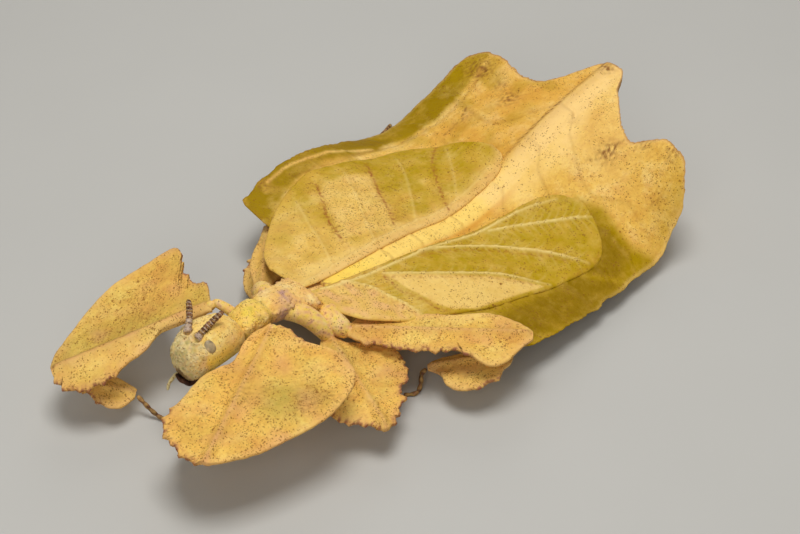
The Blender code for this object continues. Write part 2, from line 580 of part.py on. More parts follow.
def leg(name, rng):
    """One leg: coxa, femur, tibia and foot, each its own piece."""
    place = LEG_PLACES[name]
    shape = LEG_SHAPES.get(name) or LEG_SHAPES[name.split("_")[0]]
    side = LEFT if name.endswith("left") else RIGHT
    radii = COXA_RADII.get(name) or COXA_RADII[name.split("_")[0]]
    tube("coxa_" + name, place["coxa"], radii, "thorax")
    limb("femur_" + name, place["hip"], place["knee"], place["up"], side, shape["femur"],
         shape["femur_rows"], FEMUR_RIDGE, (shape["plus_teeth"], shape["minus_teeth"]), rng)
    limb("tibia_" + name, place["shin"], place["ankle"], place["up"], side, shape["tibia"], TIBIA_ROWS,
         TIBIA_RIDGE, TIBIA_TEETH, rng)
    ankle = Vector(place["ankle"])
    first = Vector(place["foot"][0])
    path = [ankle + (first - ankle).normalized() * ANKLE_GAP] + place["foot"]
    tube("tarsus_" + name, path, TARSUS_RADII, "dark", floor=0.0)


def main():
    clear_scene()
    rng = random.Random(SEED)
    abdomen()
    thorax()
    head()
    mouth()
    antenna("antenna_left", LEFT, ANTENNA_TIPS["left"])
    antenna("antenna_right", RIGHT, ANTENNA_TIPS["right"])
    wing("tegmen_left", LEFT_WING_INNER, LEFT_WING_OUTER)
    wing("tegmen_right", RIGHT_WING_INNER, RIGHT_WING_OUTER)
    for name in LEG_PLACES:
        leg(name, rng)
    cerci()


main()
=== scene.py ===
# Leaf insect, adult female, yellow form, life size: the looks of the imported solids.
# Lengths are in millimetres until a mesh is made. Head towards -X, the insect's left towards -Y.
import bpy
import math
import random
import numpy as np
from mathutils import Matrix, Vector


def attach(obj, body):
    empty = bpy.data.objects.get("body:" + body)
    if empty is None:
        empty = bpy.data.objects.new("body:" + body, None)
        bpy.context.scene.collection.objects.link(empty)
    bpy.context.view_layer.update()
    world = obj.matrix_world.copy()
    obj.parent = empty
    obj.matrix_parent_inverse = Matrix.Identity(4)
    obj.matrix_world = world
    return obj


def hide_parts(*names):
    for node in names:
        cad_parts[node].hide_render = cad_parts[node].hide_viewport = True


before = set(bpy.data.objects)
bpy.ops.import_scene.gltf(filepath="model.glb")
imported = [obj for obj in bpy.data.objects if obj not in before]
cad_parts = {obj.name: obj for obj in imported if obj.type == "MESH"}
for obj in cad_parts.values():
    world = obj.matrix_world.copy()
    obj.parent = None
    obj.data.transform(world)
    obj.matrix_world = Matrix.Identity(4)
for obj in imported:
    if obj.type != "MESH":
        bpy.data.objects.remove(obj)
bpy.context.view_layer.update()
mm = 0.001
sides = {"left": -1, "right": 1}
print("frame loaded:", len(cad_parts), "nodes")


# Shapes: curves, noise and grids

def tableCurve(table, x):  # the smooth curve that the solids use, for many x at once
    xs, ys = np.array(table, float).T
    rise = np.diff(ys) / np.diff(xs)
    slopes = np.concatenate([rise[:1], (ys[2:] - ys[:-2]) / (xs[2:] - xs[:-2]), rise[-1:]])
    x = np.clip(np.asarray(x, float), xs[0], xs[-1])
    i = np.clip(np.searchsorted(xs, x), 1, len(xs) - 1)
    width = xs[i] - xs[i - 1]
    t = (x - xs[i - 1]) / width
    return ((2 * t ** 3 - 3 * t ** 2 + 1) * ys[i - 1] + (t ** 3 - 2 * t ** 2 + t) * width * slopes[i - 1]
            + (3 * t ** 2 - 2 * t ** 3) * ys[i] + (t ** 3 - t ** 2) * width * slopes[i])


def alongCurve(points, shares):  # places at given shares of the length of a smooth curve
    points = np.array(points, float)
    ends = np.vstack([points[:1], points, points[-1:]])
    t = (np.arange(16) / 16)[:, None]
    fine = []
    for a, b, c, d in zip(ends, ends[1:], ends[2:], ends[3:]):
        fine.append(0.5 * (2 * b + (c - a) * t + (2 * a - 5 * b + 4 * c - d) * t ** 2
                           + (3 * b - a - 3 * c + d) * t ** 3))
    fine = np.vstack(fine + [points[-1:]])
    run = np.concatenate([[0], np.cumsum(np.linalg.norm(np.diff(fine, axis=0), axis=1))])
    return np.stack([np.interp(np.asarray(shares) * run[-1], run, column) for column in fine.T], -1)


def direction(run):  # of length 1
    run = np.asarray(run, float)
    return run / np.maximum(np.linalg.norm(run, axis=-1, keepdims=True), 1e-6)


def softNoise(points, size, seed):  # smooth waves of about the given size, roughly -1 to 1
    rng = np.random.default_rng(seed)
    waves = direction(rng.normal(size=(16, points.shape[-1])))
    waves *= (2 * math.pi / size) * rng.uniform(0.6, 1.6, (16, 1))
    return np.sin(points @ waves.T + rng.uniform(0, 6.28, 16)).sum(-1) / 5


def unit(value):
    return np.clip(value, 0, 1)


def step(low, high, value):  # rises from 0 to 1
    t = unit((value - low) / (high - low))
    return t * t * (3 - 2 * t)


def fall(low, high, value):  # falls from 1 to 0
    return 1 - step(low, high, value)


def hump(gap, half):
    return np.exp(-(gap / half) ** 2)


def lineDistance(x, y, line):  # distance in plan to a line of points, and the share along it
    line = np.array(line, float)
    best, place = np.full(np.shape(x), 1e9), np.zeros(np.shape(x))
    for k, (a, b) in enumerate(zip(line, line[1:])):
        run = b - a
        t = unit(((x - a[0]) * run[0] + (y - a[1]) * run[1]) / run.dot(run))
        gap = np.hypot(x - a[0] - t * run[0], y - a[1] - t * run[1])
        place = np.where(gap < best, (k + t) / (len(line) - 1), place)
        best = np.minimum(gap, best)
    return best, place


def thinLines(x, y, lines, half):
    return sum(hump(lineDistance(x, y, line)[0], half) for line in lines)


def spots(x, y, places):  # soft round patches: x, y, radius, strength
    return sum(strength * hump(np.hypot(x - px, y - py), radius) for px, py, radius, strength in places)


def panel(x, y, outline, soft):  # 1 inside an outline drawn in plan, 0 outside it
    ring = outline + outline[:1]
    gap, _ = lineDistance(x, y, ring)
    inside = np.zeros(np.shape(x), bool)
    for (ax, ay), (bx, by) in zip(outline, ring[1:]):
        if ay != by:
            inside ^= ((ay > y) != (by > y)) & (x < (bx - ax) * (y - ay) / (by - ay) + ax)
    return step(-soft, soft, np.where(inside, gap, -gap))


def rimDepth(size, gap, width):  # thickness of a sheet that thins out to its rim over the given width
    return size["rim"] + (size["sheet"] - size["rim"]) * np.sqrt(1 - (1 - unit(gap / width)) ** 2)


def turns(count):
    return 2 * math.pi * np.arange(count) / count


def squarer(value, power):  # makes a round section a little boxy
    return np.sign(value) * np.abs(value) ** power


def makePiece(name, points, faces, material, marks, nodes):
    mesh = bpy.data.meshes.new(name)
    mesh.from_pydata((points.reshape(-1, 3) * mm).tolist(), [], faces)
    for mark, values in marks.items():
        values = np.broadcast_to(values, points.shape[:-1]).astype(np.float32).ravel()
        mesh.attributes.new(mark, "FLOAT", "POINT").data.foreach_set("value", values)
    mesh.materials.append(material)
    mesh.shade_smooth()
    mesh.update()
    piece = bpy.data.objects.new(name, mesh)
    bpy.context.collection.objects.link(piece)
    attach(piece, "root")
    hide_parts(*nodes)
    return mesh


def outward(mesh):  # turns the faces around if the volume that they enclose is negative
    mesh.calc_loop_triangles()
    corners = np.array([triangle.vertices for triangle in mesh.loop_triangles])
    places = np.array([point.co for point in mesh.vertices])
    a, b, c = places[corners.T]
    if (a * np.cross(b, c)).sum() < 0:
        mesh.flip_normals()


def sheetFaces(rows, columns):  # closed sheet between two grids: top, bottom and rim
    grid = np.arange(rows * columns).reshape(rows, columns)
    top = np.stack([grid[:-1, :-1], grid[:-1, 1:], grid[1:, 1:], grid[1:, :-1]], -1).reshape(-1, 4)
    rim = np.concatenate([grid[0, :], grid[1:, -1], grid[-1, -2::-1], grid[-2:0:-1, 0]])
    after = np.roll(rim, -1)
    edge = np.stack([after, rim, rim + grid.size, after + grid.size], -1)
    return np.vstack([top, top[:, ::-1] + grid.size, edge]).tolist()


def makeSheet(name, top, low, material, marks, node):
    faces = sheetFaces(*top.shape[:2])
    outward(makePiece(name, np.stack([top, low]), faces, material, marks, [node]))


def joinRings(bodies):  # all points and faces of closed bodies, each made of rings of points
    faces, start = [], 0
    for body in bodies:
        grid = np.arange(body[..., 0].size).reshape(body.shape[:2]) + start
        after = np.roll(grid, -1, axis=1)
        faces += np.stack([grid[:-1], after[:-1], after[1:], grid[1:]], -1).reshape(-1, 4).tolist()
        faces += [grid[0][::-1].tolist(), grid[-1].tolist()]
        start += grid.size
    return np.vstack([body.reshape(-1, 3) for body in bodies]), faces


def tubeShape(path, radii, around=16, steps=40, flat=1.0):  # rings of a tube with round ends
    shares = np.linspace(0, 1, steps + 1)
    places = alongCurve(path, shares)
    sizes = np.interp(shares, np.linspace(0, 1, len(radii)), radii)
    run = shares * np.linalg.norm(np.diff(places, axis=0), axis=1).sum()
    ends = np.minimum(run, run[-1] - run)
    sizes = sizes * np.sqrt(np.clip(1 - (1 - unit(ends / np.maximum(sizes, 1e-3))) ** 2, 0.02, 1))
    along = direction(np.gradient(places, axis=0))
    side = np.cross(along, [0, 0, 1.0])
    upright = np.linalg.norm(side, axis=1, keepdims=True) <= 0.1
    side = np.where(upright, [0, 1.0, 0], direction(side))
    angle = turns(around)[None, :, None]
    ring = np.cos(angle) * side[:, None] + flat * np.sin(angle) * np.cross(side, along)[:, None]
    points = places[:, None] + sizes[:, None, None] * ring
    points[..., 2] = np.maximum(points[..., 2], 0)
    return points


# Materials

def linearColour(text):
    parts = [int(text[i:i + 2], 16) / 255 for i in (1, 3, 5)]
    return tuple(c / 12.92 if c <= 0.04045 else ((c + 0.055) / 1.055) ** 2.4 for c in parts) + (1.0,)


def setInputs(tree, node, links):  # a node or socket is linked, any other value is set on the socket
    for key, value in links.items():
        if isinstance(value, bpy.types.Node):
            value = value.outputs[0]
        if isinstance(value, bpy.types.NodeSocket):
            tree.links.new(value, node.inputs[key])
        else:
            node.inputs[key].default_value = value


def addNode(tree, kind, links=None, stops=(), **settings):
    node = tree.nodes.new("ShaderNode" + kind)
    for key, value in settings.items():
        setattr(node, key, value)
    setInputs(tree, node, links or {})
    if stops:
        ramp = node.color_ramp.elements
        for element, (place, colour) in zip(ramp, (stops[0], stops[-1])):
            element.position, element.color = place, linearColour(colour)
        for place, colour in stops[1:-1]:
            ramp.new(place).color = linearColour(colour)
    return node


def newMaterial(name):  # the material, its tree, its shader and the place on the piece
    made = bpy.data.materials.new(name)
    made.use_nodes = True
    tree = made.node_tree
    return made, tree, tree.nodes["Principled BSDF"], addNode(tree, "TexCoord").outputs["Object"]


def perMetre(size):  # a pattern's scale from its real size in millimetres
    return 1000 / size


def cuticle(name, look):
    # Chitin cuticle, hard and thin like a dry leaf: matt with a faint waxy gloss, dusted with brown specks.
    made, tree, shader, place = newMaterial(name)
    bend = addNode(tree, "TexNoise", {"Vector": place, "Scale": perMetre(0.8), "Detail": 2})
    moved = addNode(tree, "VectorMath", {0: bend.outputs["Color"], 1: (0.0009,) * 3, 2: place},
                    operation="MULTIPLY_ADD")
    cloud = {}
    for key, size, detail, at in (("tone", look["toneSize"], 6, place), ("rough", 1.6, 4, place),
                                  ("mottle", look["mottleSize"], 8, moved),
                                  ("fine", look["fineSize"], 5, moved), ("wrinkle", 1.1, 6, place),
                                  ("cluster", look["clusterSize"], 5, place)):
        cloud[key] = addNode(tree, "TexNoise", {"Vector": at, "Scale": perMetre(size), "Detail": detail,
                                                "Roughness": 0.64})
    colour = addNode(tree, "ValToRGB", {"Fac": cloud["tone"]},
                     stops=[(0.36, look["deep"]), (0.5, look["base"]), (0.64, look["pale"])])
    # layers over the ground colour: what drives them, its range, their strength and their colour
    layers = [(cloud["mottle"], 0.5, 0.72, look["mottle"], look["mottleColour"]),
              (cloud["fine"], 0.48, 0.68, look["fine"], look["fineColour"])]
    broken = addNode(tree, "MapRange", {"Value": cloud["rough"], "From Min": 0.3, "From Max": 0.62,
                                        "To Min": 1 - look["broken"]})
    for mark, (tint, strength) in look["marks"].items():
        drawn = addNode(tree, "Attribute", attribute_name=mark).outputs["Fac"]
        drawn = addNode(tree, "Math", {0: drawn, 1: broken}, operation="MULTIPLY")
        layers.append((drawn, 0, 1, strength, tint))
    # specks: cells with a dot in some of them, thicker in clusters and where dust is drawn
    dust = addNode(tree, "Attribute", attribute_name="dust").outputs["Fac"]
    for spacing, few, many, reach in look["specks"]:
        cells = addNode(tree, "TexVoronoi", {"Vector": moved, "Scale": perMetre(spacing)})
        chance = addNode(tree, "SeparateColor", {0: cells.outputs["Color"]}).outputs
        thick = addNode(tree, "MapRange", {"Value": cloud["cluster"], "From Min": 0.48, "From Max": 0.6,
                                           "To Min": few, "To Max": many})
        thick = addNode(tree, "Math", {0: dust, 1: many, 2: thick}, operation="MULTIPLY_ADD")
        there = addNode(tree, "Math", {0: chance[0], 1: thick}, operation="LESS_THAN")
        size = addNode(tree, "Math", {0: chance[1], 1: 0.6 * reach, 2: 0.4 * reach}, operation="MULTIPLY_ADD")
        inside = addNode(tree, "Math", {0: size, 1: cells}, operation="SUBTRACT")
        dot = addNode(tree, "Math", {0: inside, 1: there}, operation="MULTIPLY")
        layers.append((dot, 0, 0.12, look["speckDepth"], look["speckColour"]))
    for value, low, high, strength, tint in layers:
        amount = addNode(tree, "MapRange", {"Value": value, "From Min": low, "From Max": high,
                                            "To Max": strength})
        mixed = addNode(tree, "Mix", {0: amount, 6: colour, 7: linearColour(tint)}, data_type="RGBA")
        colour = mixed.outputs[2]
    # grains of the surface and fine wrinkles
    grain = addNode(tree, "TexVoronoi", {"Vector": moved, "Scale": perMetre(look["grain"])},
                    feature="SMOOTH_F1")
    height = addNode(tree, "Math", {0: grain, 1: 0.6, 2: cloud["wrinkle"]}, operation="MULTIPLY_ADD")
    bump = addNode(tree, "Bump", {"Height": height, "Strength": look["bump"], "Distance": 0.12 * mm})
    gloss = addNode(tree, "MapRange", {"Value": cloud["wrinkle"], "To Min": look["roughness"] - 0.1,
                                       "To Max": look["roughness"] + 0.1})
    setInputs(tree, shader, {"Base Color": colour, "Roughness": gloss, "Normal": bump, "IOR": 1.5,
                             "Specular IOR Level": look["specular"]})
    return made


def eyeSurface():
    # Compound eye: a smooth clear cornea over grey facets of about 0.06 mm, drawn at 0.12 so that they show.
    made, tree, shader, place = newMaterial("compoundEyeCornea")
    cells = addNode(tree, "TexVoronoi", {"Vector": place, "Scale": perMetre(0.12)})
    cloud = addNode(tree, "TexNoise", {"Vector": place, "Scale": perMetre(0.9), "Detail": 3})
    colour = addNode(tree, "ValToRGB", {"Fac": cloud},
                     stops=[(0.36, "#857459"), (0.5, "#A3906C"), (0.64, "#BFA278")])
    bump = addNode(tree, "Bump", {"Height": cells, "Strength": 0.5, "Distance": 0.03 * mm}, invert=True)
    setInputs(tree, shader, {"Base Color": colour, "Normal": bump, "Roughness": 0.38, "IOR": 1.5,
                             "Specular IOR Level": 0.35})
    return made


leafLook = {"deep": "#E0A650", "base": "#EFBF5A", "pale": "#F6D26E", "toneSize": 6,
            "mottle": 0.55, "mottleSize": 3, "mottleColour": "#D3924E",
            "fine": 0.46, "fineSize": 0.5, "fineColour": "#BE7C38",
            "clusterSize": 3.8, "specks": [(0.3, 0.06, 1, 0.53), (0.6, 0.02, 0.5, 0.38)],
            "speckDepth": 0.72, "speckColour": "#87561F", "broken": 0.5,
            # shade and light are olive and pale tints of the cuticle and also paint shade and light on the
            # legs; dark also paints the fold's shade line
            "marks": {"shade": ("#B09A40", 0.8), "light": ("#FADA84", 0.6), "rose": ("#E8AC78", 0.55),
                      "dark": ("#744424", 0.9), "red": ("#9C6248", 0.85)},
            "grain": 0.28, "bump": 0.75, "roughness": 0.62, "specular": 0.1}
backLook = dict(leafLook, deep="#DDA844", base="#EDBF58", pale="#F8D47C", mottle=0.45, broken=0.35,
                specks=[(0.3, 0.05, 0.75, 0.5), (0.6, 0.01, 0.3, 0.36)], roughness=0.55, specular=0.08,
                # on the abdomen, shade and deep are olive tints that mostly paint shade, and light also
                # paints highlight
                marks={"band": ("#FFDB60", 0.95), "orange": ("#DE9C3A", 0.75), "shade": ("#A98800", 1),
                       "light": ("#FFD68E", 0.75), "deep": ("#886800", 1), "dark": ("#7B4A22", 0.85),
                       "red": ("#A0603A", 0.8)})
wingLook = dict(leafLook, deep="#D5A642", base="#E5B954", pale="#F1CC74", toneSize=5, broken=0.42,
                specks=[(0.3, 0.14, 0.8, 0.5), (0.6, 0.02, 0.3, 0.36)],
                # shade is the wings' olive, deepened as painted shade on the far wing; dark also paints
                # shadows below three near-wing veins
                marks={"shade": ("#B29200", 0.95), "light": ("#F1CC76", 0.8), "rose": ("#EDB482", 0.6),
                       "vein": ("#F4DA8A", 0.8), "dark": ("#964A22", 0.8)},
                grain=0.4, bump=0.35, roughness=0.52, specular=0.08)
bodyLook = dict(leafLook, deep="#EEBA62", base="#FBD376", pale="#FFE69A", toneSize=3, mottle=0.35, fine=0.34,
                # shade paints shade on the undersides of thorax and head, dark paints the deepest shade under
                # the thorax, and light also paints a highlight on top of the head
                marks={"light": ("#EED050", 0.8), "pink": ("#EBB28C", 0.8), "grey": ("#CFC494", 0.88),
                       "shade": ("#B4941A", 0.9), "green": ("#9C9440", 0.8), "red": ("#A0685A", 0.85),
                       "lilac": ("#A88488", 0.9), "dark": ("#4A2C1C", 0.9)},
                specks=[(0.3, 0.06, 0.8, 0.5), (0.6, 0.02, 0.3, 0.34)], grain=0.3, bump=0.9, roughness=0.64)
darkLook = dict(leafLook, deep="#46291C", base="#64402C", pale="#8E6044", toneSize=0.9, mottle=0.3,
                mottleColour="#2F1A10", fineColour="#3A2216", specks=[(0.3, 0.1, 0.5, 0.34)],
                marks={"tan": ("#CFA660", 0.9), "pale": ("#D8C2AC", 0.95), "black": ("#2C1B13", 0.95)},
                grain=0.16, bump=0.8, speckColour="#2A160D")
leafSkin = cuticle("leafCuticle", leafLook)
backSkin = cuticle("abdomenCuticle", backLook)
wingSkin = cuticle("forewingCuticle", wingLook)
bodySkin = cuticle("thoraxCuticle", bodyLook)
darkSkin = cuticle("footCuticle", darkLook)
eyeSkin = eyeSurface()
print("materials made")

# The back: the midline, the width and the two side edges, as in the solids
back = {
    "line": [(-36, 12.5), (-31, 11.3), (-24, 10.6), (-17, 10), (-9.9, 9.1), (0, 7.5), (10.4, 9.6), (20, 13.9),
             (30, 16.6), (42.5, 18.9)],
    "half": [(-31, 27), (-24.4, 27.2), (-14.5, 29.4), (-5, 29.9), (9.7, 29.4), (21.3, 28.8), (28.5, 28.1),
             (42, 28)],
    "leftEdge": [(-31, 7.2), (-20, 6.6), (-14.5, 6.2), (-8.2, 5.3), (-0.6, 4), (8.6, 3.4), (18.3, 2.9),
                 (21.5, 4.4), (24.6, 8.2), (28, 14), (31, 17.3), (42, 18.5)],
    "rightEdge": [(-31, 10.6), (-24.4, 10.9), (-14.5, 11.5), (-5, 10.5), (2.8, 8), (9.7, 5.8), (14.8, 5.9),
                  (21.3, 8.2), (28.5, 11.6), (33, 14.5), (42, 17)],
    "droop": 1.6, "pucker": 0.16, "puckerSize": 9,
}


def backHeight(x, y):
    share = np.minimum(1, np.abs(y) / tableCurve(back["half"], x))
    middle = tableCurve(back["line"], x)
    edge = np.where(y > 0, tableCurve(back["rightEdge"], x), tableCurve(back["leftEdge"], x))
    pucker = back["pucker"] * softNoise(np.stack([x, y], -1), back["puckerSize"], 5) * step(0.1, 0.4, share)
    return middle + (edge - middle) * share ** back["droop"] + pucker


# Front and tail ends of the abdomen by the share of its half width, then its core, the drawn markings and the
# outlines of painted shade and highlight
abdomenLook = {
    "rightEnds": [(0, -31, 42.3), (0.07, -31, 42.2), (0.14, -30.9, 39.5), (0.22, -30.4, 35),
                  (0.3, -29.5, 32.3), (0.4, -28.2, 31.6), (0.5, -27.2, 32), (0.62, -26.5, 33.2),
                  (0.75, -26, 34.2),
                  (0.87, -25.6, 33.8), (0.95, -25.1, 32.2), (1, -24.4, 30)],
    "leftEnds": [(0, -31, 42.3), (0.07, -31, 41.8), (0.14, -30.9, 38), (0.22, -30.2, 35.5), (0.3, -28.4, 33),
                 (0.4, -26.4, 30.3), (0.5, -24.2, 28.9), (0.58, -22.6, 29.9), (0.68, -20.9, 31.8),
                 (0.8, -19.4, 31.2), (0.9, -18.2, 29.6), (1, -16.8, 26)],
    "borders": [0.19, 0.287, 0.422, 0.563, 0.694, 0.816],
    "borderRise": 0.22, "midribRise": 0.3, "sheet": 0.5, "rim": 0.14, "rows": 300, "columns": 240,
    "coreDepth": [(-31, 5.2), (-20, 7.6), (-8, 9.1), (0, 8.2), (6, 8.6), (12, 7.6), (20, 5.2), (30, 3.2),
                  (42.5, 1.2)],
    "coreSpread": [(0, 1), (4.2, 1), (6.6, 0.5), (9, 0.12), (12, 0)],
    "crease": [(9, 2.6), (13.4, 2), (17.4, 1.3), (21.2, 1.1), (24.9, 1.1), (29.4, 1), (32.6, 1.2), (41, 1)],
    "farFold": [(-14, 25.2), (-3.8, 24.6), (2.4, 24.9), (10.9, 23.2), (17.8, 20.3), (24, 20.1), (31, 21.5)],
    "blotches": [(26, 11.3, 2, 0.8), (28.5, 15.2, 1.6, 0.6), (25.5, -11.8, 1.7, 1), (29.9, -16.3, 1.6, 0.8),
                 (30.4, -21.9, 1.8, 0.7), (24.6, -23.6, 1.2, 0.5), (30.5, 20.4, 1.6, 0.8),
                 (30.3, 23.1, 2.2, 0.8), (40.6, 0.6, 1.2, 1.2), (27.1, -3, 1, 0.4), (20, 16, 1.4, 0.35),
                 (36, 8, 1.2, 0.4),
                 (-19, 27, 1.6, 0.6), (-30, 26, 2.4, 0.7)],
    # outline of painted shade on the far front margin, which slopes away from the light
    "farFront": [(-31.5, 13), (-26, 18), (-19, 22.4), (-11.5, 25.2), (-3.5, 25.6), (6, 24), (10, 26), (4, 32),
                 (-31.5, 32)],
    "brightLines": [[(-18.3, 27.1), (-11.8, 28.1), (-3.5, 27.4), (4.7, 24.9)]],
    "underLines": [[(5.5, -23.5), (12, -29.5)]],
    "brownLines": [[(21.5, 17.4), (19, 16.2), (15.3, 16.9)], [(22, -9.5), (25, -11.5), (28.5, -13)]],
    # outline of the deepest painted shade, on the near margin under the wing
    "underDeep": [(-14, -22), (-4, -22.4), (6, -22.2), (12.5, -20), (16, -16.5), (15.5, -25), (9, -28.8),
                  (-2, -30), (-14, -28)],
    # the pale band towards the tail, lightened further by a painted highlight
    "paleBandHighlight": [(6, 0.9), (15, 1.2), (20.5, 1.3), (27.3, 1.6), (34, 1.4), (39.5, 1.2), (38.5, -1.2),
                   (30, -4), (22, -6.5), (13, -6.5), (6, -3.6)],
    # outline of painted shade on the near margin below the wing
    "underWing": [(-19, -18), (-7, -19.5), (2, -20.5), (8, -20), (13, -17), (16.4, -12.5), (18.4, -17),
                  (17.2, -24), (18.8, -28), (18, -31), (9, -31), (-0.3, -31), (-12, -31), (-20, -31)],
}


def makeAbdomen():
    look = abdomenLook
    shares = np.linspace(-1, 1, look["columns"] + 1)
    table = [(-s, front, end) for s, front, end in reversed(look["leftEnds"])] + look["rightEnds"][1:]
    front, end = (tableCurve([(row[0], row[k]) for row in table], shares) for k in (1, 2))
    ragged = softNoise(shares[:, None] * 28, 3.2, 11) * 0.16 + softNoise(shares[:, None] * 28, 1.1, 12) * 0.08
    length = np.minimum(end + ragged, 42.3) - front
    t = np.linspace(0, 1, look["rows"] + 1)[:, None]
    x = front + length * t
    away = np.abs(shares) * np.ones_like(x)
    half = tableCurve(back["half"], x)
    wavy = (softNoise(x[..., None], 6, 14) * 0.2 + softNoise(x[..., None], 1.6, 15) * 0.06 - 0.3) / 28
    y = shares * half * (1 + wavy * np.maximum(away - 0.5, 0) * 2)
    flat = np.stack([x, y], -1)
    # joints between the segments: raised lines that run out to the edge like leaf veins
    rib, jointMark, belly = np.zeros((3,) + x.shape)
    midrib = look["midribRise"] * fall(1.7, 2.6, np.abs(y))
    for border in look["borders"]:
        gap = (t - border) * length
        rib += look["borderRise"] * hump(gap, 0.45) * step(0.16, 0.26, away) * fall(0.9, 1, away)
        jointMark += hump(gap + 0.5, 0.35) * (1 - step(0.3, 0.8, away) * 0.55)
        midrib += (0.16 * hump(gap + 0.7, 0.5) - 0.14 * hump(gap - 0.1, 0.28)) * fall(1.9, 2.6, np.abs(y))
        belly += 0.25 * hump(gap, 0.5)
    crease, along = lineDistance(x, y, look["crease"])
    fold, _ = lineDistance(x, y, look["farFold"])
    edgeGap = np.minimum((1 - away) * half, np.minimum(t, 1 - t) * length)
    height = backHeight(x, y)
    crumple = softNoise(flat, 2.6, 21) * 0.045 + softNoise(flat, 1.2, 22) * 0.02
    top = (height + rib + midrib + 0.4 * hump(crease, 0.7) * step(0, 0.15, along) - 0.25 * hump(fold, 1)
           + crumple)
    core = tableCurve(look["coreDepth"], x) * tableCurve(look["coreSpread"], np.abs(y))
    low = (height - np.maximum(rimDepth(look, edgeGap, 0.9), core) + rib * 0.4 + crumple * 0.5
           + belly * step(0.3, 1, core))
    low = np.minimum(np.maximum(low, 0), top - look["rim"])
    # markings
    ragged = np.clip(0.55 + 0.9 * softNoise(flat, 1.1, 23), 0, 1.3)
    brightLine = thinLines(x, y, look["brightLines"], 0.45)
    bright = panel(x, y, look["paleBandHighlight"], 1.8)
    farFront = panel(x, y, look["farFront"], 1) * (1 - brightLine)
    pastFold = y - np.interp(x, *np.array(look["farFold"]).T)
    pastCrease = y - np.interp(x, *np.array(look["crease"]).T)
    belt = fall(1.3, 2.5, np.abs(y + 0.7))
    marks = {
        "band": belt * fall(8, 22, x) + 0.45 * bright,
        # shade: painted shade past the far fold and on the far front margin, which slope away from the light,
        # on the near margin below the wing and the near tail edge, and in patches on the far half
        "shade": 0.95 * step(0.2, 2, pastFold) * step(-4, 4, x)
        + farFront * unit(0.85 + 0.4 * softNoise(flat, 5, 26)) + panel(x, y, look["underWing"], 1.2)
        + 0.45 * step(0.75, 1, away) * (y < 0) * step(16, 24, x)
        + 0.5 * unit(softNoise(flat, 7, 24) + 0.1) * step(2, 6, y),
        # deep: the deepest painted shade, under the near wing, past the far fold and on the far front margin;
        # the pale lines across it are ridges
        "deep": 0.85 * panel(x, y, look["underDeep"], 1.6)
        * (1 - 0.8 * thinLines(x, y, look["underLines"], 0.7))
        + 0.4 * step(0.4, 2.6, pastFold) * step(-4, 4, x) * fall(24, 29, x) + 0.4 * farFront,
        # light: painted highlight on the pale tail band, the front of the midline band and the near half of
        # the tail, with a pale vein on the far side and a paler rim towards the tail
        "light": 0.62 * bright + 0.5 * belt * step(-26, -16, x) + 0.3 * brightLine
        + 0.35 * (y < 0) * step(16, 24, x) * fall(0.35, 0.8, away)
        + 0.4 * fall(0.2, 0.9, edgeGap) * step(-10, 10, x),
        "orange": 0.5 * step(1, 2.5, y) * step(8, 16, x) * fall(17, 22, y)
        + hump(np.abs(y + 0.7) - 2.6, 0.7) * fall(8, 14, x),
        # dark: the brown crease line, joints, blotches and brown lines are the cuticle's own; the faint line
        # in the far fold is painted shade
        "dark": 1.2 * hump(pastCrease - 0.9, 0.4) * ragged * step(0.05, 0.3, along)
        * (0.45 + 0.55 * step(16, 20, x) * fall(27, 33, x))
        + jointMark * 0.22 + spots(x, y, look["blotches"]) * ragged + 0.3 * hump(fold, 0.5)
        + 0.6 * thinLines(x, y, look["brownLines"], 0.32) * ragged,
        "red": 0.8 * fall(0.1, 0.5, edgeGap) * step(24, 30, x)
        + 0.25 * hump(crease, 1.4) * step(0, 0.3, along)
        + 0.9 * fall(0.3, 1.6, edgeGap) * fall(-29, -24, x) * ragged,
        "dust": 0.5 * step(0.4, 0.95, away) * step(18, 26, x) * np.clip(0.6 + softNoise(flat, 5, 25), 0, 1.4)
        + 0.6 * fall(0.3, 2.5, edgeGap) * step(0, 4, y),
    }
    makeSheet("abdomenLeaf", np.stack([x, y, top], -1), np.stack([x, y, low], -1), backSkin,
              marks, "abdomen")


makeAbdomen()
print("abdomen made")
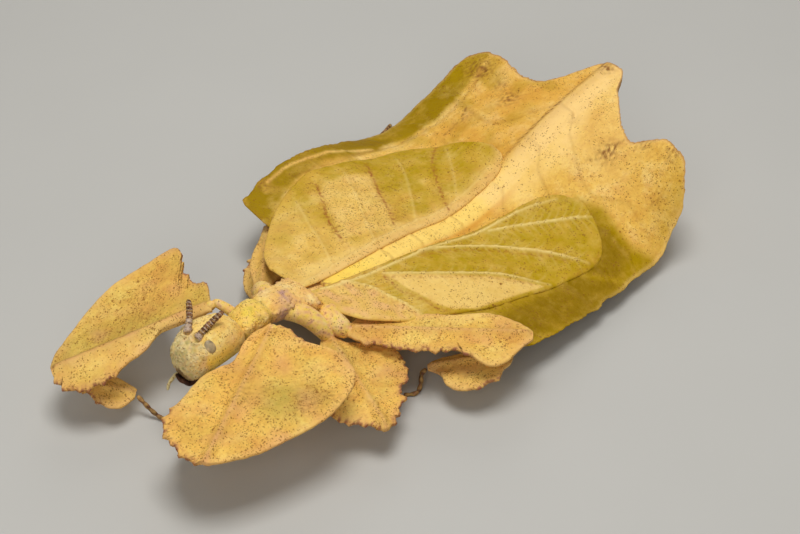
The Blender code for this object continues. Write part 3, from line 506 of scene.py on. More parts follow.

# Forewings: inner and outer edges in plan, raised veins, darker lines that show through, and painted shadows
# below three veins of the near wing
wingLooks = {
    "left": {
        "inner": [(-35, -0.7), (-30.4, -0.9), (-19.1, -2.3), (-2.7, -4.2), (4.3, -5.4), (10.7, -7.2),
                  (14.6, -10.2), (16.4, -13.6)],
        "outer": [(-35, -5.4), (-31.8, -10.2), (-27, -13.9), (-22, -16.6), (-12.3, -20.2), (-1.4, -22),
                  (6.5, -23.4), (11.6, -22.6), (14.8, -19), (16.5, -14.4)],
        "veins": [([(-28.7, -1.9), (-26.3, -4.9), (-25, -9.8), (-23.8, -14.8)], 0.22),
                  ([(-22.1, -4.4), (-15.8, -9.3), (-8.3, -14.4), (-2.8, -19.3), (-0.8, -21.6)], 0.34),
                  ([(-13.1, -3.9), (-7.8, -6), (-1.4, -9.8), (2.5, -14.8), (6.3, -19.8), (8, -22.6)], 0.34),
                  ([(1, -6.6), (5.2, -9.3), (10.8, -13.8), (15.6, -17.2)], 0.26),
                  ([(-33, -1.4), (-25, -3), (-12, -4.2), (0, -5.7), (8, -7.5), (13.6, -10.7)], 0.3)],
        "darkLines": [([(-22.4, -4.7), (-22.7, -9), (-21.9, -11.5), (-21.2, -15), (-19.8, -17.6)], 0.55),
                      # the next three run just below the first three veins: painted shadows of the raised
                      # veins
                      ([(-29.2, -2.6), (-27, -5.6), (-25.8, -10.2), (-24.6, -14.8)], 0.35),
                      ([(-22.3, -5.2), (-16.2, -10), (-8.9, -15), (-3.4, -19.8)], 0.4),
                      ([(-13.3, -4.8), (-8.2, -6.8), (-2.1, -10.4), (1.8, -15.2), (5.5, -20)], 0.4),
                      ([(14.9, -20), (11, -22.4), (4, -23)], 0.3)],
        "pale": [[(-34.6, -1.6), (-28.9, -1.6), (-26.5, -4.9), (-25.3, -9.8), (-24.2, -14.6), (-26.2, -14),
                  (-29, -12.5), (-31.6, -10.4), (-34, -6.6)],
                 [(-21.7, -5.2), (-15.8, -9.8), (-8.4, -15), (-3.2, -19.6), (-2, -21.2), (-8.7, -20.4),
                  (-16, -18.7), (-19.2, -16.9), (-20.6, -14.2), (-21.4, -9.3)]],
        "paleSoft": 0.35, "veinShow": 1, "roseShow": 0.4,
        "dust": [[(-33, -2.6), (-28.4, -3), (-26.4, -8), (-25.2, -13.4), (-28, -12), (-31.4, -8)]],
    },
    "right": {
        "inner": [(-35, 0.7), (-30, 0.8), (-19, 0.9), (-2.7, 0.9), (6, 0.8), (11.8, 0.9), (14.9, 2.8),
                  (16, 6)],
        "outer": [(-35, 8.4), (-32.4, 12.7), (-27, 17.4), (-22, 20.7), (-13.4, 24), (-6.8, 23.8), (1.5, 22.4),
                  (8, 20.4), (13.2, 14.4), (15.8, 8)],
        "veins": [([(-33, 1.6), (-22, 2.4), (-8, 2.7), (4, 2.6), (12, 3.2)], 0.28),
                  ([(-27, 2.2), (-24, 8), (-21.5, 14), (-18.5, 20.5)], 0.26),
                  ([(-17, 2.6), (-13.5, 8.5), (-9.5, 15), (-6, 21.5)], 0.26),
                  ([(-7, 2.7), (-2.5, 8), (2, 14), (5, 19.5)], 0.26),
                  ([(3, 2.6), (7, 7), (10.5, 11.5), (12.2, 14)], 0.22)],
        "darkLines": [([(-12.8, 21.1), (-15.1, 17), (-18.2, 12.6), (-19.8, 8.8), (-20.7, 6.2)], 0.95),
                      ([(-0.8, 20.7), (-3.6, 16.1), (-6.2, 11.8), (-8.6, 7.2), (-10.9, 3.9)], 0.95),
                      ([(12.2, 16), (8.3, 13.3), (4.9, 9), (2.2, 5.3), (0.4, 2)], 0.8)],
        "pale": [[(-12.5, 19.9), (-7, 19.3), (-2.6, 18), (-6.7, 11.2), (-8.9, 6.7), (-10.9, 4.2),
                  (-13.2, 4.1), (-19.8, 6.6), (-17.4, 12.3)],
                 [(-34, 1), (-22, 1), (-8, 1.1), (3, 1), (3, 2.6), (-8, 3), (-22, 3.4), (-30, 5.5)]],
        "paleSoft": 1.1, "veinShow": 0.35, "roseShow": 1,
        "dust": [[(-13.5, 19.5), (-4, 18.5), (-10, 4.5), (-20.5, 5.5), (-18.5, 12)]],
    },
}
wingSize = {"clearance": 0.8, "sheet": 0.4, "rim": 0.08, "rows": 300, "columns": 150, "veinHalf": 0.5}


def makeWing(name):
    look = wingLooks[name]
    rows = np.linspace(0, 1, wingSize["rows"] + 1)
    columns = np.linspace(0, 1, wingSize["columns"] + 1)
    inner, outer = (alongCurve(look[key], rows)[:, None] for key in ("inner", "outer"))
    flat = inner + (outer - inner) * columns[:, None]
    x, y = flat[..., 0], flat[..., 1]
    span = np.linalg.norm(outer - inner, axis=-1)
    edgeGap = np.minimum(np.minimum(columns, 1 - columns) * span, np.minimum(rows, 1 - rows)[:, None] * 50)
    height = backHeight(x, y) + 0.06 + wingSize["clearance"] * (0.3 * step(0, 6, edgeGap) + 0.45 * hump(y, 3))
    rise, veinMark, darkMark = np.zeros((3,) + x.shape)
    for line, size in look["veins"]:
        smooth = alongCurve(line, np.linspace(0, 1, 40))
        gap, along = lineDistance(x, y, smooth)
        fade = 1 - step(0.8, 1, along) * 0.6
        rise += size * hump(gap, wingSize["veinHalf"]) * fade
        veinMark += hump(gap, wingSize["veinHalf"] * 0.6) * fade * min(1, size / 0.3)
        # small cross veins leave each main vein on both sides
        for a, b in zip(smooth[3:37:3], smooth[4:38:3]):
            run = direction(b - a)
            for turn in (-1, 1):
                out = np.array([-run[1], run[0]]) * turn * 2.6 + run * 1.6
                little, far = lineDistance(x, y, [a, a + out * 0.5 + run * 0.2, a + out])
                rise += 0.07 * hump(little, 0.22) * (1 - far * 0.7)
                veinMark += 0.3 * hump(little, 0.2) * (1 - far * 0.7)
    for line, size in look["darkLines"]:
        gap, _ = lineDistance(x, y, alongCurve(line, np.linspace(0, 1, 40)))
        darkMark += size * hump(gap, 0.3) * np.clip(0.65 + 0.9 * softNoise(flat, 1.1, 33), 0, 1.2)
        darkMark += 0.6 * size * hump(gap, 1.1) * unit(softNoise(flat, 0.8, 34))
        rise -= 0.05 * hump(gap, 0.5)
    crumple = softNoise(flat, 2.2, 31) * 0.04 + softNoise(flat, 1, 32) * 0.015
    top = height + rimDepth(wingSize, edgeGap, 0.7) + rise + crumple
    pale = np.maximum(*(panel(x, y, outline, look["paleSoft"]) for outline in look["pale"]))
    rose = 0.4 * fall(0.4, 3, columns * span) * step(-34, -30, x) * look["roseShow"]
    if name == "left":
        rose = rose + 0.9 * panel(x, y, look["pale"][0], 0.8) * unit(0.5 + 0.8 * softNoise(flat, 3, 36))
        shade = (1 - pale) * (0.6 + 0.4 * step(-24, -14, x))
        light = pale * (0.5 + 0.5 * step(-25, -20, x)) + 0.5 * (1 - pale) * fall(-34, -29, x)
    else:
        front = fall(-24, -17, x)
        # shade: the wing's own olive, deepened as painted shade towards the far edge, where the wing slopes
        # away from the light
        shade = (1 - pale) * step(1.4, 5.5, y)
        shade = shade * (0.4 + 0.25 * step(8, 14, y) + 0.35 * step(-12, 2, x) - 0.3 * front)
        light = pale * 0.5 + 0.4 * fall(2.5, 6, y) + 0.3 * front
    marks = {"vein": unit(veinMark) * look["veinShow"], "dark": unit(darkMark), "light": unit(light),
             "shade": unit(shade + 0.25 * softNoise(flat, 6, 35)), "rose": unit(rose),
             "dust": 0.9 * panel(x, y, look["dust"][0], 1.5)}
    makeSheet("forewing_" + name, np.stack([x, y, top], -1), np.stack([x, y, height + rise * 0.3], -1),
              wingSkin, marks, "tegmen_" + name)


for name in sides:
    makeWing(name)
print("forewings made")

# Legs: places of the joints, and the painted shade of each leg, most on the far legs
legPlaces = {
    "fore_left": dict(coxa=[(-46, -3.2, 12.3), (-47, -4.4, 12.5), (-48, -5.6, 12.6)], shade=0,
                      hip=(-46.3, -4.9, 14.7), knee=(-69.6, -16.1, 11.1), up=(-0.13, -0.1, 0.98),
                      shin=(-66.8, -15.2, 9.6), ankle=(-62.8, -3.4, 5.2),
                      foot=[(-62, -2.2, 3), (-60.8, -1, 1.2), (-59.2, 0.2, 0.36), (-57.6, 1, 0.26)]),
    "fore_right": dict(coxa=[(-46.9, 3.5, 13.3), (-47.3, 4.8, 13.8), (-47.8, 6.2, 14.2)], shade=0.12,
                       hip=(-48.6, 6.6, 14), knee=(-71.4, 17.6, 8.2), up=(-0.22, 0.02, 0.97),
                       shin=(-69.2, 16.2, 6.2), ankle=(-62.9, 8.8, 3.6),
                       foot=[(-62.6, 7.6, 2.6), (-62.2, 6.2, 1.4), (-61.6, 4.6, 0.38), (-61, 3.2, 0.26)]),
    "mid_left": dict(coxa=[(-38.4, -3.9, 10.4), (-37.6, -4.8, 9.7), (-36.7, -5.6, 9)], shade=0.05,
                     hip=(-36.9, -6.9, 8.4), knee=(-43, -25.5, 5.4), up=(0, -0.1, 0.99),
                     shin=(-41.6, -22.8, 4.1), ankle=(-36.6, -14.2, 2.7),
                     foot=[(-35.8, -12.9, 2), (-35, -11.4, 1.1), (-34.1, -9.6, 0.38), (-33.4, -8, 0.26)]),
    "mid_right": dict(coxa=[(-38.4, 3.8, 10.4), (-38.2, 5.3, 9.8), (-38.1, 6.9, 9.3)], shade=0.3,
                      hip=(-37.4, 7.8, 9.2), knee=(-24, 20.8, 7.8), up=(0, 0, 1),
                      shin=(-26.4, 19.6, 5), ankle=(-34.6, 13, 3.2),
                      foot=[(-35.6, 12.1, 2.2), (-37, 10.9, 1.1), (-38.4, 9.4, 0.38), (-39.2, 7.8, 0.26)]),
    "hind_left": dict(coxa=[(-33.3, -5.6, 9.3), (-34.3, -6.8, 9.8), (-35.2, -8.1, 10)], shade=0.05,
                      hip=(-34.6, -9.2, 9.6), knee=(-15.2, -30, 9), up=(0.03, -0.02, 1),
                      shin=(-18.6, -28.4, 6.6), ankle=(-27.1, -19, 3.2),
                      foot=[(-28.2, -18.7, 2.4), (-29.2, -19.4, 1.1), (-30.4, -19.6, 0.38),
                            (-32, -18.4, 0.26)]),
    "hind_right": dict(coxa=[(-33.5, 4.9, 8.2), (-34.5, 6.4, 7.7), (-35.2, 7.7, 7.1)], shade=0.3,
                       hip=(-33.8, 8.8, 6.6), knee=(-9, 24.4, 4.6), up=(0, 0, 1),
                       shin=(-10.4, 24.6, 2.9), ankle=(5.6, 30.4, 1.5),
                       foot=[(7.6, 31.1, 0.9), (12, 32.6, 0.38), (16, 34, 0.32), (20.4, 35.4, 0.26)]),
}
# The outline of each lobe on both sides of its shaft, and the shares of it that carry teeth
foreTibia = ([(0, 0.9), (3, 1.3), (6.5, 2.6), (9.6, 3.6), (12.4, 3), (14.5, 0.8)],
             [(0, 0.9), (4, 1.5), (9, 2.2), (12.5, 1.5), (14.5, 0.8)])
midTibia = ([(0, 0.9), (3, 1.8), (7, 2.6), (10.5, 2), (12.5, 0.8)],
            [(0, 0.9), (4, 1.4), (8.5, 2.2), (12.5, 0.8)])
hindTibia = ([(-0.5, 1.2), (0.4, 3.2), (3.2, 5.8), (7.1, 6.6), (9.9, 5), (10.8, 2.9), (12.2, 1.2),
              (13.1, 0.6)],
             [(-0.5, 0.8), (1.6, 1.1), (4, 1.5), (6.4, 1.9), (11, 1.6), (13.1, 0.6)])
plates = {
    "fore": dict(rows=30, teeth=((0, 0.14), (0.62, 0.98)), tibia=foreTibia, femur=(
        [(-0.9, 0.9), (-0.3, 3), (0.6, 4.6), (0.9, 7.5), (1.1, 10.3), (2.1, 12.6), (3.7, 14.4), (6.5, 15),
         (9.5, 14.6), (12.5, 13.6), (16.8, 10.7), (21.8, 6.5), (24.6, 3.2), (26.2, 0.6)],
        [(-0.9, 0.7), (-0.3, 1.1), (1.2, 2.3), (2.7, 2.9), (4.6, 3.2), (7.7, 3.4), (9.8, 5.3), (12, 6.8),
         (15.6, 7.6), (19.1, 8.4), (21.4, 8.5), (23.3, 7.2), (24.4, 5.4), (25.8, 3.6), (26.2, 0.6)])),
    "fore_right": dict(rows=30, teeth=((0.05, 0.34), (0.6, 0.98)), tibia=foreTibia, femur=(
        [(-0.2, 1.3), (-0.6, 4.3), (1, 5.9), (2, 8.4), (1.8, 11.6), (1.4, 15.2), (5.4, 15.3), (11.5, 13.2),
         (17.4, 9.9), (22, 6), (24.8, 3.4), (26, 1)],
        [(0.2, 1.2), (4.5, 1), (8.2, 0.9), (9.4, 1.4), (11.1, 2.7), (13, 3.5), (14.6, 3.9), (16.4, 4.8),
         (18, 5.2), (20, 5.4), (22.4, 5.2), (24.6, 4), (26, 1)])),
    "mid_right": dict(rows=24, teeth=((2, 2), (2, 2)), tibia=midTibia, femur=(
        [(0, 1.2), (3, 2), (7, 4.2), (12, 4.6), (16.4, 2.8), (19.4, 1)],
        [(0, 1.2), (3, 1.6), (7, 2.4), (11.5, 2.2), (15.5, 1.4), (19.4, 0.9)])),
    "mid": dict(rows=24, teeth=((0.3, 0.98), (0.6, 0.98)), tibia=midTibia, femur=(
        [(0, 1.2), (1.8, 1.9), (2.9, 3.8), (4.8, 6.4), (6.9, 8.6), (8.7, 8.3), (10.9, 8), (12.4, 7.4),
         (12.9, 6.3), (14.4, 4.9), (15.9, 4.7), (17.2, 3.3), (18.8, 1.8), (19.8, 0.6)],
        [(0, 1.2), (2.6, 3), (8.5, 6.2), (13.2, 6.6), (15.6, 5.4), (17, 3.3), (18.4, 1.4), (19.8, 0.6)])),
    "hind": dict(rows=26, teeth=((2, 2), (0.1, 0.62)), tibia=hindTibia, femur=(
        [(-0.2, 1.2), (1.6, 2.5), (7.8, 2.8), (12.5, 3.3), (17.2, 4.6), (20.4, 5.1), (23.5, 4.7), (26.6, 3),
         (28.4, 0.9)],
        [(-0.2, 1.2), (1.8, 2.3), (4.9, 2.8), (8, 3.6), (12.5, 3.7), (16.4, 4), (18.6, 5.2), (20.1, 6.4),
         (21.9, 6.9), (23.9, 5.9), (26.3, 3.2), (28.4, 0.9)])),
}
legSize = {"tooth": 0.7, "rim": 0.1, "sheet": 0.3, "femurRidge": 1.15, "tibiaRidge": 0.7, "ridgeHalf": 0.8,
           "cupping": 0.3, "tuck": {"femurLobe_hind_left": 1.2}, "halfColumns": 36}
# Olive and brown patches on the fore thighs
legSpots = {"femurLobe_fore_left": ([(-54.5, -15.8, 4, 1), (-50.5, -18.5, 2.4, 0.3)],
                                    [(-58, -11.4, 1.8, 0.4), (-52.5, -18.6, 2.4, 0.4),
                                     (-49.3, -20.3, 1.5, 0.35)]),
            "femurLobe_fore_right": ([(-60, 20, 4, 0.3)],
                                     [(-56, 14, 2, 0.35), (-62.5, 16.5, 1.6, 0.3), (-52.5, 17.5, 2.6, 0.35)])}


def toothedEdge(table, shares, rows, span, rng, seed):  # an edge curve with teeth pushed out of it
    places = alongCurve(table, shares)
    run = np.gradient(places, axis=0)
    phase = shares * rows
    push = np.zeros(len(shares))
    for i in range(1, rows, 2):
        if span[0] <= i / rows <= span[1]:
            height = legSize["tooth"] * rng.uniform(0.7, 1.2) * (0.75 + 0.3 * math.sin(2.3 * i + seed))
            middle = i + 0.35 * math.sin(5.1 * i + seed)
            lean = np.where(phase < middle, middle - phase, (phase - middle) / 0.6)
            push = np.maximum(push, height * unit(1 - lean) ** 1.3)
    inside = step(span[0] - 0.03, span[0] + 0.03, shares) * fall(span[1] - 0.03, span[1] + 0.03, shares)
    phase = phase[:, None]
    push += 0.2 * inside * np.abs(softNoise(phase, 0.7, seed)) + 0.03 * softNoise(phase, 2, seed + 1)
    return places + direction(np.stack([-run[:, 1], run[:, 0]], -1)) * push[:, None], inside


def makePlate(name, node, start, end, up, side, edges, rows, ridge, teeth, rng, seed, shade):
    start, end, up = (np.array(v, float) for v in (start, end, up))
    along = direction(end - start)
    normal = direction(up - along * up.dot(along))
    across = np.cross(normal, along) * -side
    reach = edges[0][-1][0]
    shares = np.linspace(0, 1, rows * 8 + 1)
    plus, plusTeeth = toothedEdge(edges[0], shares, rows, teeth[0], rng, seed)
    minus, minusTeeth = toothedEdge(edges[1], shares, rows, teeth[1], rng, seed + 7)
    plus[:, 1] += legSize["tuck"].get(name, 0) * step(0.01, 0.1, shares) * fall(0.4, 0.58, shares)
    # columns from one rim over the shaft to the other rim
    half = legSize["halfColumns"]
    spread = np.sin((1 - np.linspace(0, 1, half + 1)) * math.pi / 2) ** 1.1
    axis = np.stack([reach * shares, 0 * shares], -1)
    p, q = (axis[:, None] + (edge * [1, turn] - axis)[:, None] * spread[:, None]
            for edge, turn in ((plus, 1), (minus, -1)))
    p = np.concatenate([p, q[:, -2::-1]], 1)
    u, v = p[..., 0], p[..., 1]
    fromRim = 1 - np.concatenate([spread, spread[-2::-1]])
    onPlus = np.arange(len(fromRim)) <= half
    plusWidth, minusWidth = (np.linalg.norm(edge - axis, axis=1)[:, None] for edge in (plus, minus))
    rimGap = fromRim * np.where(onPlus, plusWidth, minusWidth)
    teethMark = np.where(onPlus, plusTeeth[:, None], minusTeeth[:, None])
    thigh = ridge > 1
    folded = name == "femurLobe_fore_right"
    endGap = np.minimum(shares, 1 - shares)[:, None] * reach
    shaft = hump(v, legSize["ridgeHalf"]) * np.clip(endGap, 0.25, 1)
    lift = rimDepth(legSize, rimGap, 0.6) + (ridge - legSize["sheet"]) * shaft
    # leaf-like side veins that lean towards the knee
    vein = np.zeros_like(u)
    spacing = 2.7 if thigh else 2
    for k in range(1, int(reach / spacing) + 2):
        bent = u - np.abs(v) * 0.55 - k * spacing - 0.5 * softNoise(v[..., None], 5, seed + k)
        vein = np.maximum(vein, hump(bent, 0.26))
    vein *= step(0.6, 1.6, np.abs(v)) * fall(0.5, 1, 1 - unit(fromRim * 1.4))
    flat = np.stack([u, v], -1)
    crumple = softNoise(flat, 2.4, seed + 60) * 0.05 + softNoise(flat, 1, seed + 61) * 0.022
    bend = legSize["cupping"] * softNoise(flat, 13, seed + 62) * step(0.5, 4, np.abs(v))
    bend += 0.05 * vein + crumple - 0.02 * np.abs(v) ** 1.3 * thigh - 0.13 * np.clip(-v - 0.5, 0, 9) * folded
    stretch = np.linalg.norm(end - start) / reach
    base = start + along * (u * stretch)[..., None] + across * v[..., None]
    top, low = (base + normal * (turn * lift + bend)[..., None] for turn in (1, -1))
    ragged = np.clip(0.5 + 1.1 * softNoise(flat, 1, seed + 65), 0, 1.4)
    olive, brown = (spots(base[..., 0], base[..., 1], places) for places in legSpots.get(name, ([], [])))
    marks = {
        "dust": 0.08 + 0.95 * unit(softNoise(flat, 3.6, seed + 66))
        + 0.5 * folded * hump(v - 5.5, 2.5) * hump(u - 10, 3.5),
        "rose": unit(0.5 * softNoise(flat, 6.5, seed + 67)) + 0.55 * hump(v, 0.4)
        + 0.4 * fall(0.3, 2.2, rimGap),
        # shade: painted shade, set per leg and most on the far legs, and on the upper half of the far fore
        # thigh's fold; the olive patches and soft clouds are the cuticle's own
        "shade": shade + 0.25 * unit(softNoise(flat, 9, seed + 64)) + olive
        + 0.5 * folded * step(0, 0.4, v) * fall(2, 8, v),
        # light: painted light on the lower half of the far fore thigh's fold and on every tibia, lifting it
        # out of the shadow of the thigh above; the rest paints paler rims, shaft and veins
        "light": 0.3 * fall(0.2, 1.6, rimGap) * (1 - teethMark) + 0.25 * shaft + 0.08 * vein
        + 0.5 * folded * step(0, 0.5, -v) * fall(2.5, 5, -v) + 0.35 * (not thigh),
        # dark: a painted shade line along the far fore thigh's fold; the toothed rims, clouds and brown
        # patches are the cuticle's own
        "dark": 0.4 * folded * hump(v - 0.35, 0.35) + ragged * (
            0.8 * fall(0.02, 0.35, rimGap) * teethMark
            + 0.3 * unit(softNoise(flat, 6, seed + 63) - 0.75) + brown),
        "red": 0.85 * fall(0.1, 1.1, rimGap) * teethMark * ragged + 0.2 * hump(v, 0.25)
        + 0.25 * fall(0.05, 0.35, rimGap),
    }
    makeSheet(name, top, low, leafSkin, marks, node)


def makeLegs():
    rng = random.Random(7)
    for number, (name, place) in enumerate(legPlaces.items()):
        kind, sideName = name.split("_")
        plate = plates.get(name) or plates[kind]
        makePlate("femurLobe_" + name, "femur_" + name, place["hip"], place["knee"], place["up"],
                  sides[sideName], plate["femur"], plate["rows"], legSize["femurRidge"], plate["teeth"], rng,
                  100 * number + 3, place["shade"])
        makePlate("tibiaLobe_" + name, "tibia_" + name, place["shin"], place["ankle"], place["up"],
                  sides[sideName], plate["tibia"], 12, legSize["tibiaRidge"], ((0.2, 0.5), (2, 2)), rng,
                  100 * number + 40, place["shade"] + 0.05)


makeLegs()
print("leg lobes made")

# Thorax and neck in one skin: x with half width, top and bottom
thoraxLook = {
    "half": [(-51, 1.9), (-49.6, 2.1), (-48.9, 2.7), (-48.2, 3), (-46.8, 3.25), (-45.2, 3.25), (-44.4, 2.9),
             (-44, 2.85), (-43.4, 3.1), (-42.6, 3.25), (-40, 3.45), (-36.5, 4.6), (-35.4, 4.9), (-34.8, 4.9),
             (-33.6, 5.5), (-32.2, 5.8), (-30.8, 5)],
    "top": [(-51, 14.6), (-49.6, 14.8), (-48.9, 15.3), (-48.2, 15.7), (-46.8, 16.15), (-45.2, 16.15),
            (-44.4, 15.7), (-44, 15.5), (-43.4, 15.7), (-41, 15.65), (-38, 14.75), (-35.6, 14), (-34.9, 12.6),
            (-33.6, 11.8), (-32.2, 11.4), (-30.8, 10.9)],
    "bottom": [(-51, 12.2), (-49.6, 12), (-48.2, 11.5), (-46.8, 11.35), (-45.2, 11.45), (-44.2, 11.9),
               (-43.4, 11.7), (-40, 11.05), (-35.6, 8.9), (-34.8, 7.6), (-33.6, 6.6), (-32.2, 6), (-30.8, 6)],
    "taper": 0.35, "rings": 230, "around": 120, "tubercle": 0.42,
    "stain": [(-40, -0.7, 15.4), (-42.6, -2.8, 12.8)],
}


def bumpsOn(points, count, seed, low, high, size, keep):  # push of small rounded grains scattered over a body
    rng = np.random.default_rng(seed)
    places = points.reshape(-1, 3)
    push = np.zeros(len(places))
    for middle in places[rng.choice(len(places), count, replace=False)]:
        if keep(middle):
            radius = rng.uniform(low, high)
            gap = np.linalg.norm(places - middle, axis=1)
            push = np.maximum(push, size * rng.uniform(0.5, 1.1) * hump(gap, radius))
    return push.reshape(points.shape[:-1])


def ringNormals(points):
    turn = np.roll(points, -1, axis=1) - np.roll(points, 1, axis=1)
    normal = direction(np.cross(turn, np.gradient(points, axis=0)))
    outside = points - points.mean(axis=1, keepdims=True)
    return normal * np.where((normal * outside).sum(-1, keepdims=True) < 0, -1, 1)


def makeThorax():
    look = thoraxLook
    x = np.linspace(-51, -30.8, look["rings"])[:, None]
    angle = turns(look["around"])
    c, s = np.cos(angle), np.sin(angle)
    half, high, low = (tableCurve(look[key], x) for key in ("half", "top", "bottom"))
    y = half * squarer(c, 0.8) * (1 - look["taper"] * (1 - s) / 2)
    z = (high + low) / 2 + (high - low) / 2 * squarer(s, 0.8)
    points = np.stack([x + 0 * y, y, z], -1)
    push = np.zeros_like(y)
    # rows of tubercles along both sides of the back, and a low keel on the middle
    for i in range(1, 12, 2):
        for turn in (0.42, math.pi - 0.42):
            push += look["tubercle"] * hump(np.hypot(x + 44 - 8.7 * i / 12, (angle - turn) * 3.2), 0.34)
    push += 0.22 * hump(y, 0.5) * (s > 0) * step(-48.5, -47.5, x) * fall(-37, -36, x)
    push -= 0.2 * hump(x + 46.6 + 0.12 * y ** 2, 0.3) * (s > 0)
    grain = bumpsOn(points, 1100, 41, 0.14, 0.26, 0.16, lambda place: place[2] > 9.5)
    push += grain
    points = points + ringNormals(points) * push[..., None]
    lilac = np.zeros_like(y)
    start, end = np.array(look["stain"])
    for share in np.linspace(0, 1, 12):
        gap = np.linalg.norm(points - start * (1 - share) - end * share, axis=-1)
        lilac = np.maximum(lilac, hump(gap, 1 + 0.5 * share))
    lilac = lilac * unit(0.75 + 0.6 * softNoise(points, 1.3, 50))
    front = fall(-44.6, -43.4, x)
    marks = {
        "light": (0.75 * front * unit(0.6 + 0.6 * softNoise(points, 1.8, 52))
                  + 0.3 * hump(y, 1.6) * fall(-38, -36, x)) * (s > -0.2),
        "pink": unit(0.3 * step(-43.6, -42.6, x) * (s > 0.2) + 0.4 * (grain > 0.1) + lilac),
        "lilac": lilac,
        "green": 0.45 * front * unit(softNoise(points, 1.6, 53) - 0.2),
        # shade: painted shade, olive on the lower half of the sides
        "shade": 0.85 * fall(-0.75, 0.1, s),
        "red": 0.8 * unit(push * 2.6) * (np.abs(y) > 2.2) + 0.2 * lilac,
        # dark: painted shade deepest along the underside; the dark line across the back at the waist and the
        # flecks in the lilac stain are the cuticle's own
        "dark": 0.5 * fall(-0.95, -0.6, s) * unit(0.6 + softNoise(points, 0.6, 51))
        + 0.35 * hump(x + 44.15, 0.2) * (s > 0) + 0.35 * lilac * unit(softNoise(points, 0.7, 49)),
        "dust": 0.3 + 0.5 * lilac,
    }
    outward(makePiece("thoraxSkin", points, joinRings([points])[1], bodySkin, marks,
                      ["prothorax", "mesothorax", "metathorax"]))


makeThorax()

# Head: rings of x, middle height, half width and half height
headLook = {
    "rings": [(-60.5, 13.2, 1.6, 1.7), (-60.2, 13.4, 2.4, 2.4), (-59.4, 13.7, 3.1, 3),
              (-57.4, 14.3, 3.7, 3.5), (-54.8, 14.6, 3.9, 3.6), (-52, 14.2, 3.4, 3.4),
              (-50.2, 13.6, 2.85, 2.75), (-49.7, 13.4, 2.4, 2.1), (-49.4, 13.4, 1.7, 1.5)],
    "front": -60.55, "length": 11.2, "count": 170, "around": 150,
    "ridge": [(-58.2, 1.4), (-59.4, 1.9), (-60.4, 1.6)],
    "eye": (-56.75, 2.84, 16.64), "eyeSize": (0.5, 0.85, 1.1), "antenna": (-57.6, 1.1, 18.13),
}


def makeHead():
    look = headLook
    t = (1 - np.cos(np.linspace(0, math.pi, look["count"]))) / 2
    x = (look["front"] + look["length"] * t)[:, None]
    angle = turns(look["around"])
    c, s = np.cos(angle), np.sin(angle)
    middle, half, reach = (tableCurve([(ring[0], ring[k]) for ring in look["rings"]], x) for k in (1, 2, 3))
    closing = np.sqrt(np.clip(1 - (1 - unit((x + 60.56) / 0.7)) ** 2, 0.0004, 1))
    y = half * closing * squarer(c, 0.9)
    points = np.stack([x + 0 * y, y, middle + reach * closing * squarer(s, 0.9)], -1)
    push = np.zeros_like(y)
    for side in (-1, 1):
        eyeGap, rootGap = (np.linalg.norm(points - [px, side * py, pz], axis=-1)
                           for px, py, pz in (look["eye"], look["antenna"] - np.array([0, 0, 0.2])))
        push += 0.06 * hump(eyeGap - 1.3, 0.3)
        push += 0.22 * hump(rootGap - 1.05, 0.25) - 0.35 * fall(0.5, 0.95, rootGap)
        # ridges from the antennae down the face
        push += 0.18 * thinLines(points[..., 0], side * y, [look["ridge"]], 0.3) * (s > -0.3)
    push -= 0.16 * hump(y, 0.18) * (s > 0.2) * step(-57, -56, x)
    push += 0.12 * hump(np.abs(y) - 1.6, 0.4) * (s > 0) * step(-55.5, -54, x) * fall(-51.5, -50.4, x)
    grains = bumpsOn(points, 1500, 43, 0.1, 0.2, 0.13, lambda place: place[0] < -57.2 or place[2] > 15.2)
    face = fall(-58.5, -57.7, x - 0.8 * s + 0.2 * np.sin(7 * angle))
    push += grains * (0.55 + 0.7 * face)
    points = points + ringNormals(points) * push[..., None]
    points[..., 0] = np.maximum(points[..., 0], -60.9)
    skull = 1 - face
    cheek = skull * fall(-53, -50.5, x)
    marks = {
        "grey": face * (0.4 + 0.35 * (grains > 0.03) + 0.25 * hump(x + 60, 1.2)),
        "pink": unit(0.45 * face * (softNoise(points, 1.3, 46) > 0.2) + 0.25 * (grains > 0.07) * skull
                     + 0.4 * hump(np.hypot(points[..., 0] + 53, (s - 0.35) * 3), 1.4) + 0.1 * (s > 0.3)),
        "green": 0.6 * face * unit(softNoise(points, 1.6, 54) - 0.1) + 0.45 * cheek * fall(-0.9, 0, s),
        # light: a painted highlight on the top of the head, and the yellow of the cheeks
        "light": 0.3 * (s > 0.55) * step(-58, -56.5, x) + cheek * hump(s + 0.25, 0.75),
        # shade: painted shade on the underside, less on the face
        "shade": 0.95 * fall(-0.98, -0.4, s) * (1 - 0.5 * face),
        "red": 0.5 * face * fall(-0.7, -0.2, s) + 0.35 * unit(softNoise(points, 1.2, 47) - 0.6),
        "dark": 0.85 * face * fall(-0.9, -0.55, s) + 0.5 * face * unit(softNoise(points, 0.7, 48) - 0.6),
        "dust": 0.2 + 0.2 * (s > 0.2),
    }
    faces = joinRings([points])[1]
    outward(makePiece("headCapsule", points, faces, bodySkin, marks, ["head"]))


def makeEye(name):
    x, y, z = headLook["eye"]
    deep, wide, high = headLook["eyeSize"]
    u = np.linspace(0.02, math.pi - 0.02, 40)[:, None, None]
    w = turns(56)[None, :, None]
    out = direction([-0.12, sides[name] * 0.72, 0.68])
    fore = direction(np.cross(out, [0, 1.0, 0]))
    ball = deep * np.cos(u) * out + wide * np.sin(u) * np.cos(w) * fore
    ball = ball + high * np.sin(u) * np.sin(w) * np.cross(out, fore)
    points, faces = joinRings([ball + [x, sides[name] * y, z]])
    outward(makePiece("eyeBall_" + name, points, faces, eyeSkin, {}, ["eye_" + name]))


makeHead()
for name in sides:
    makeEye(name)
print("thorax and head made")

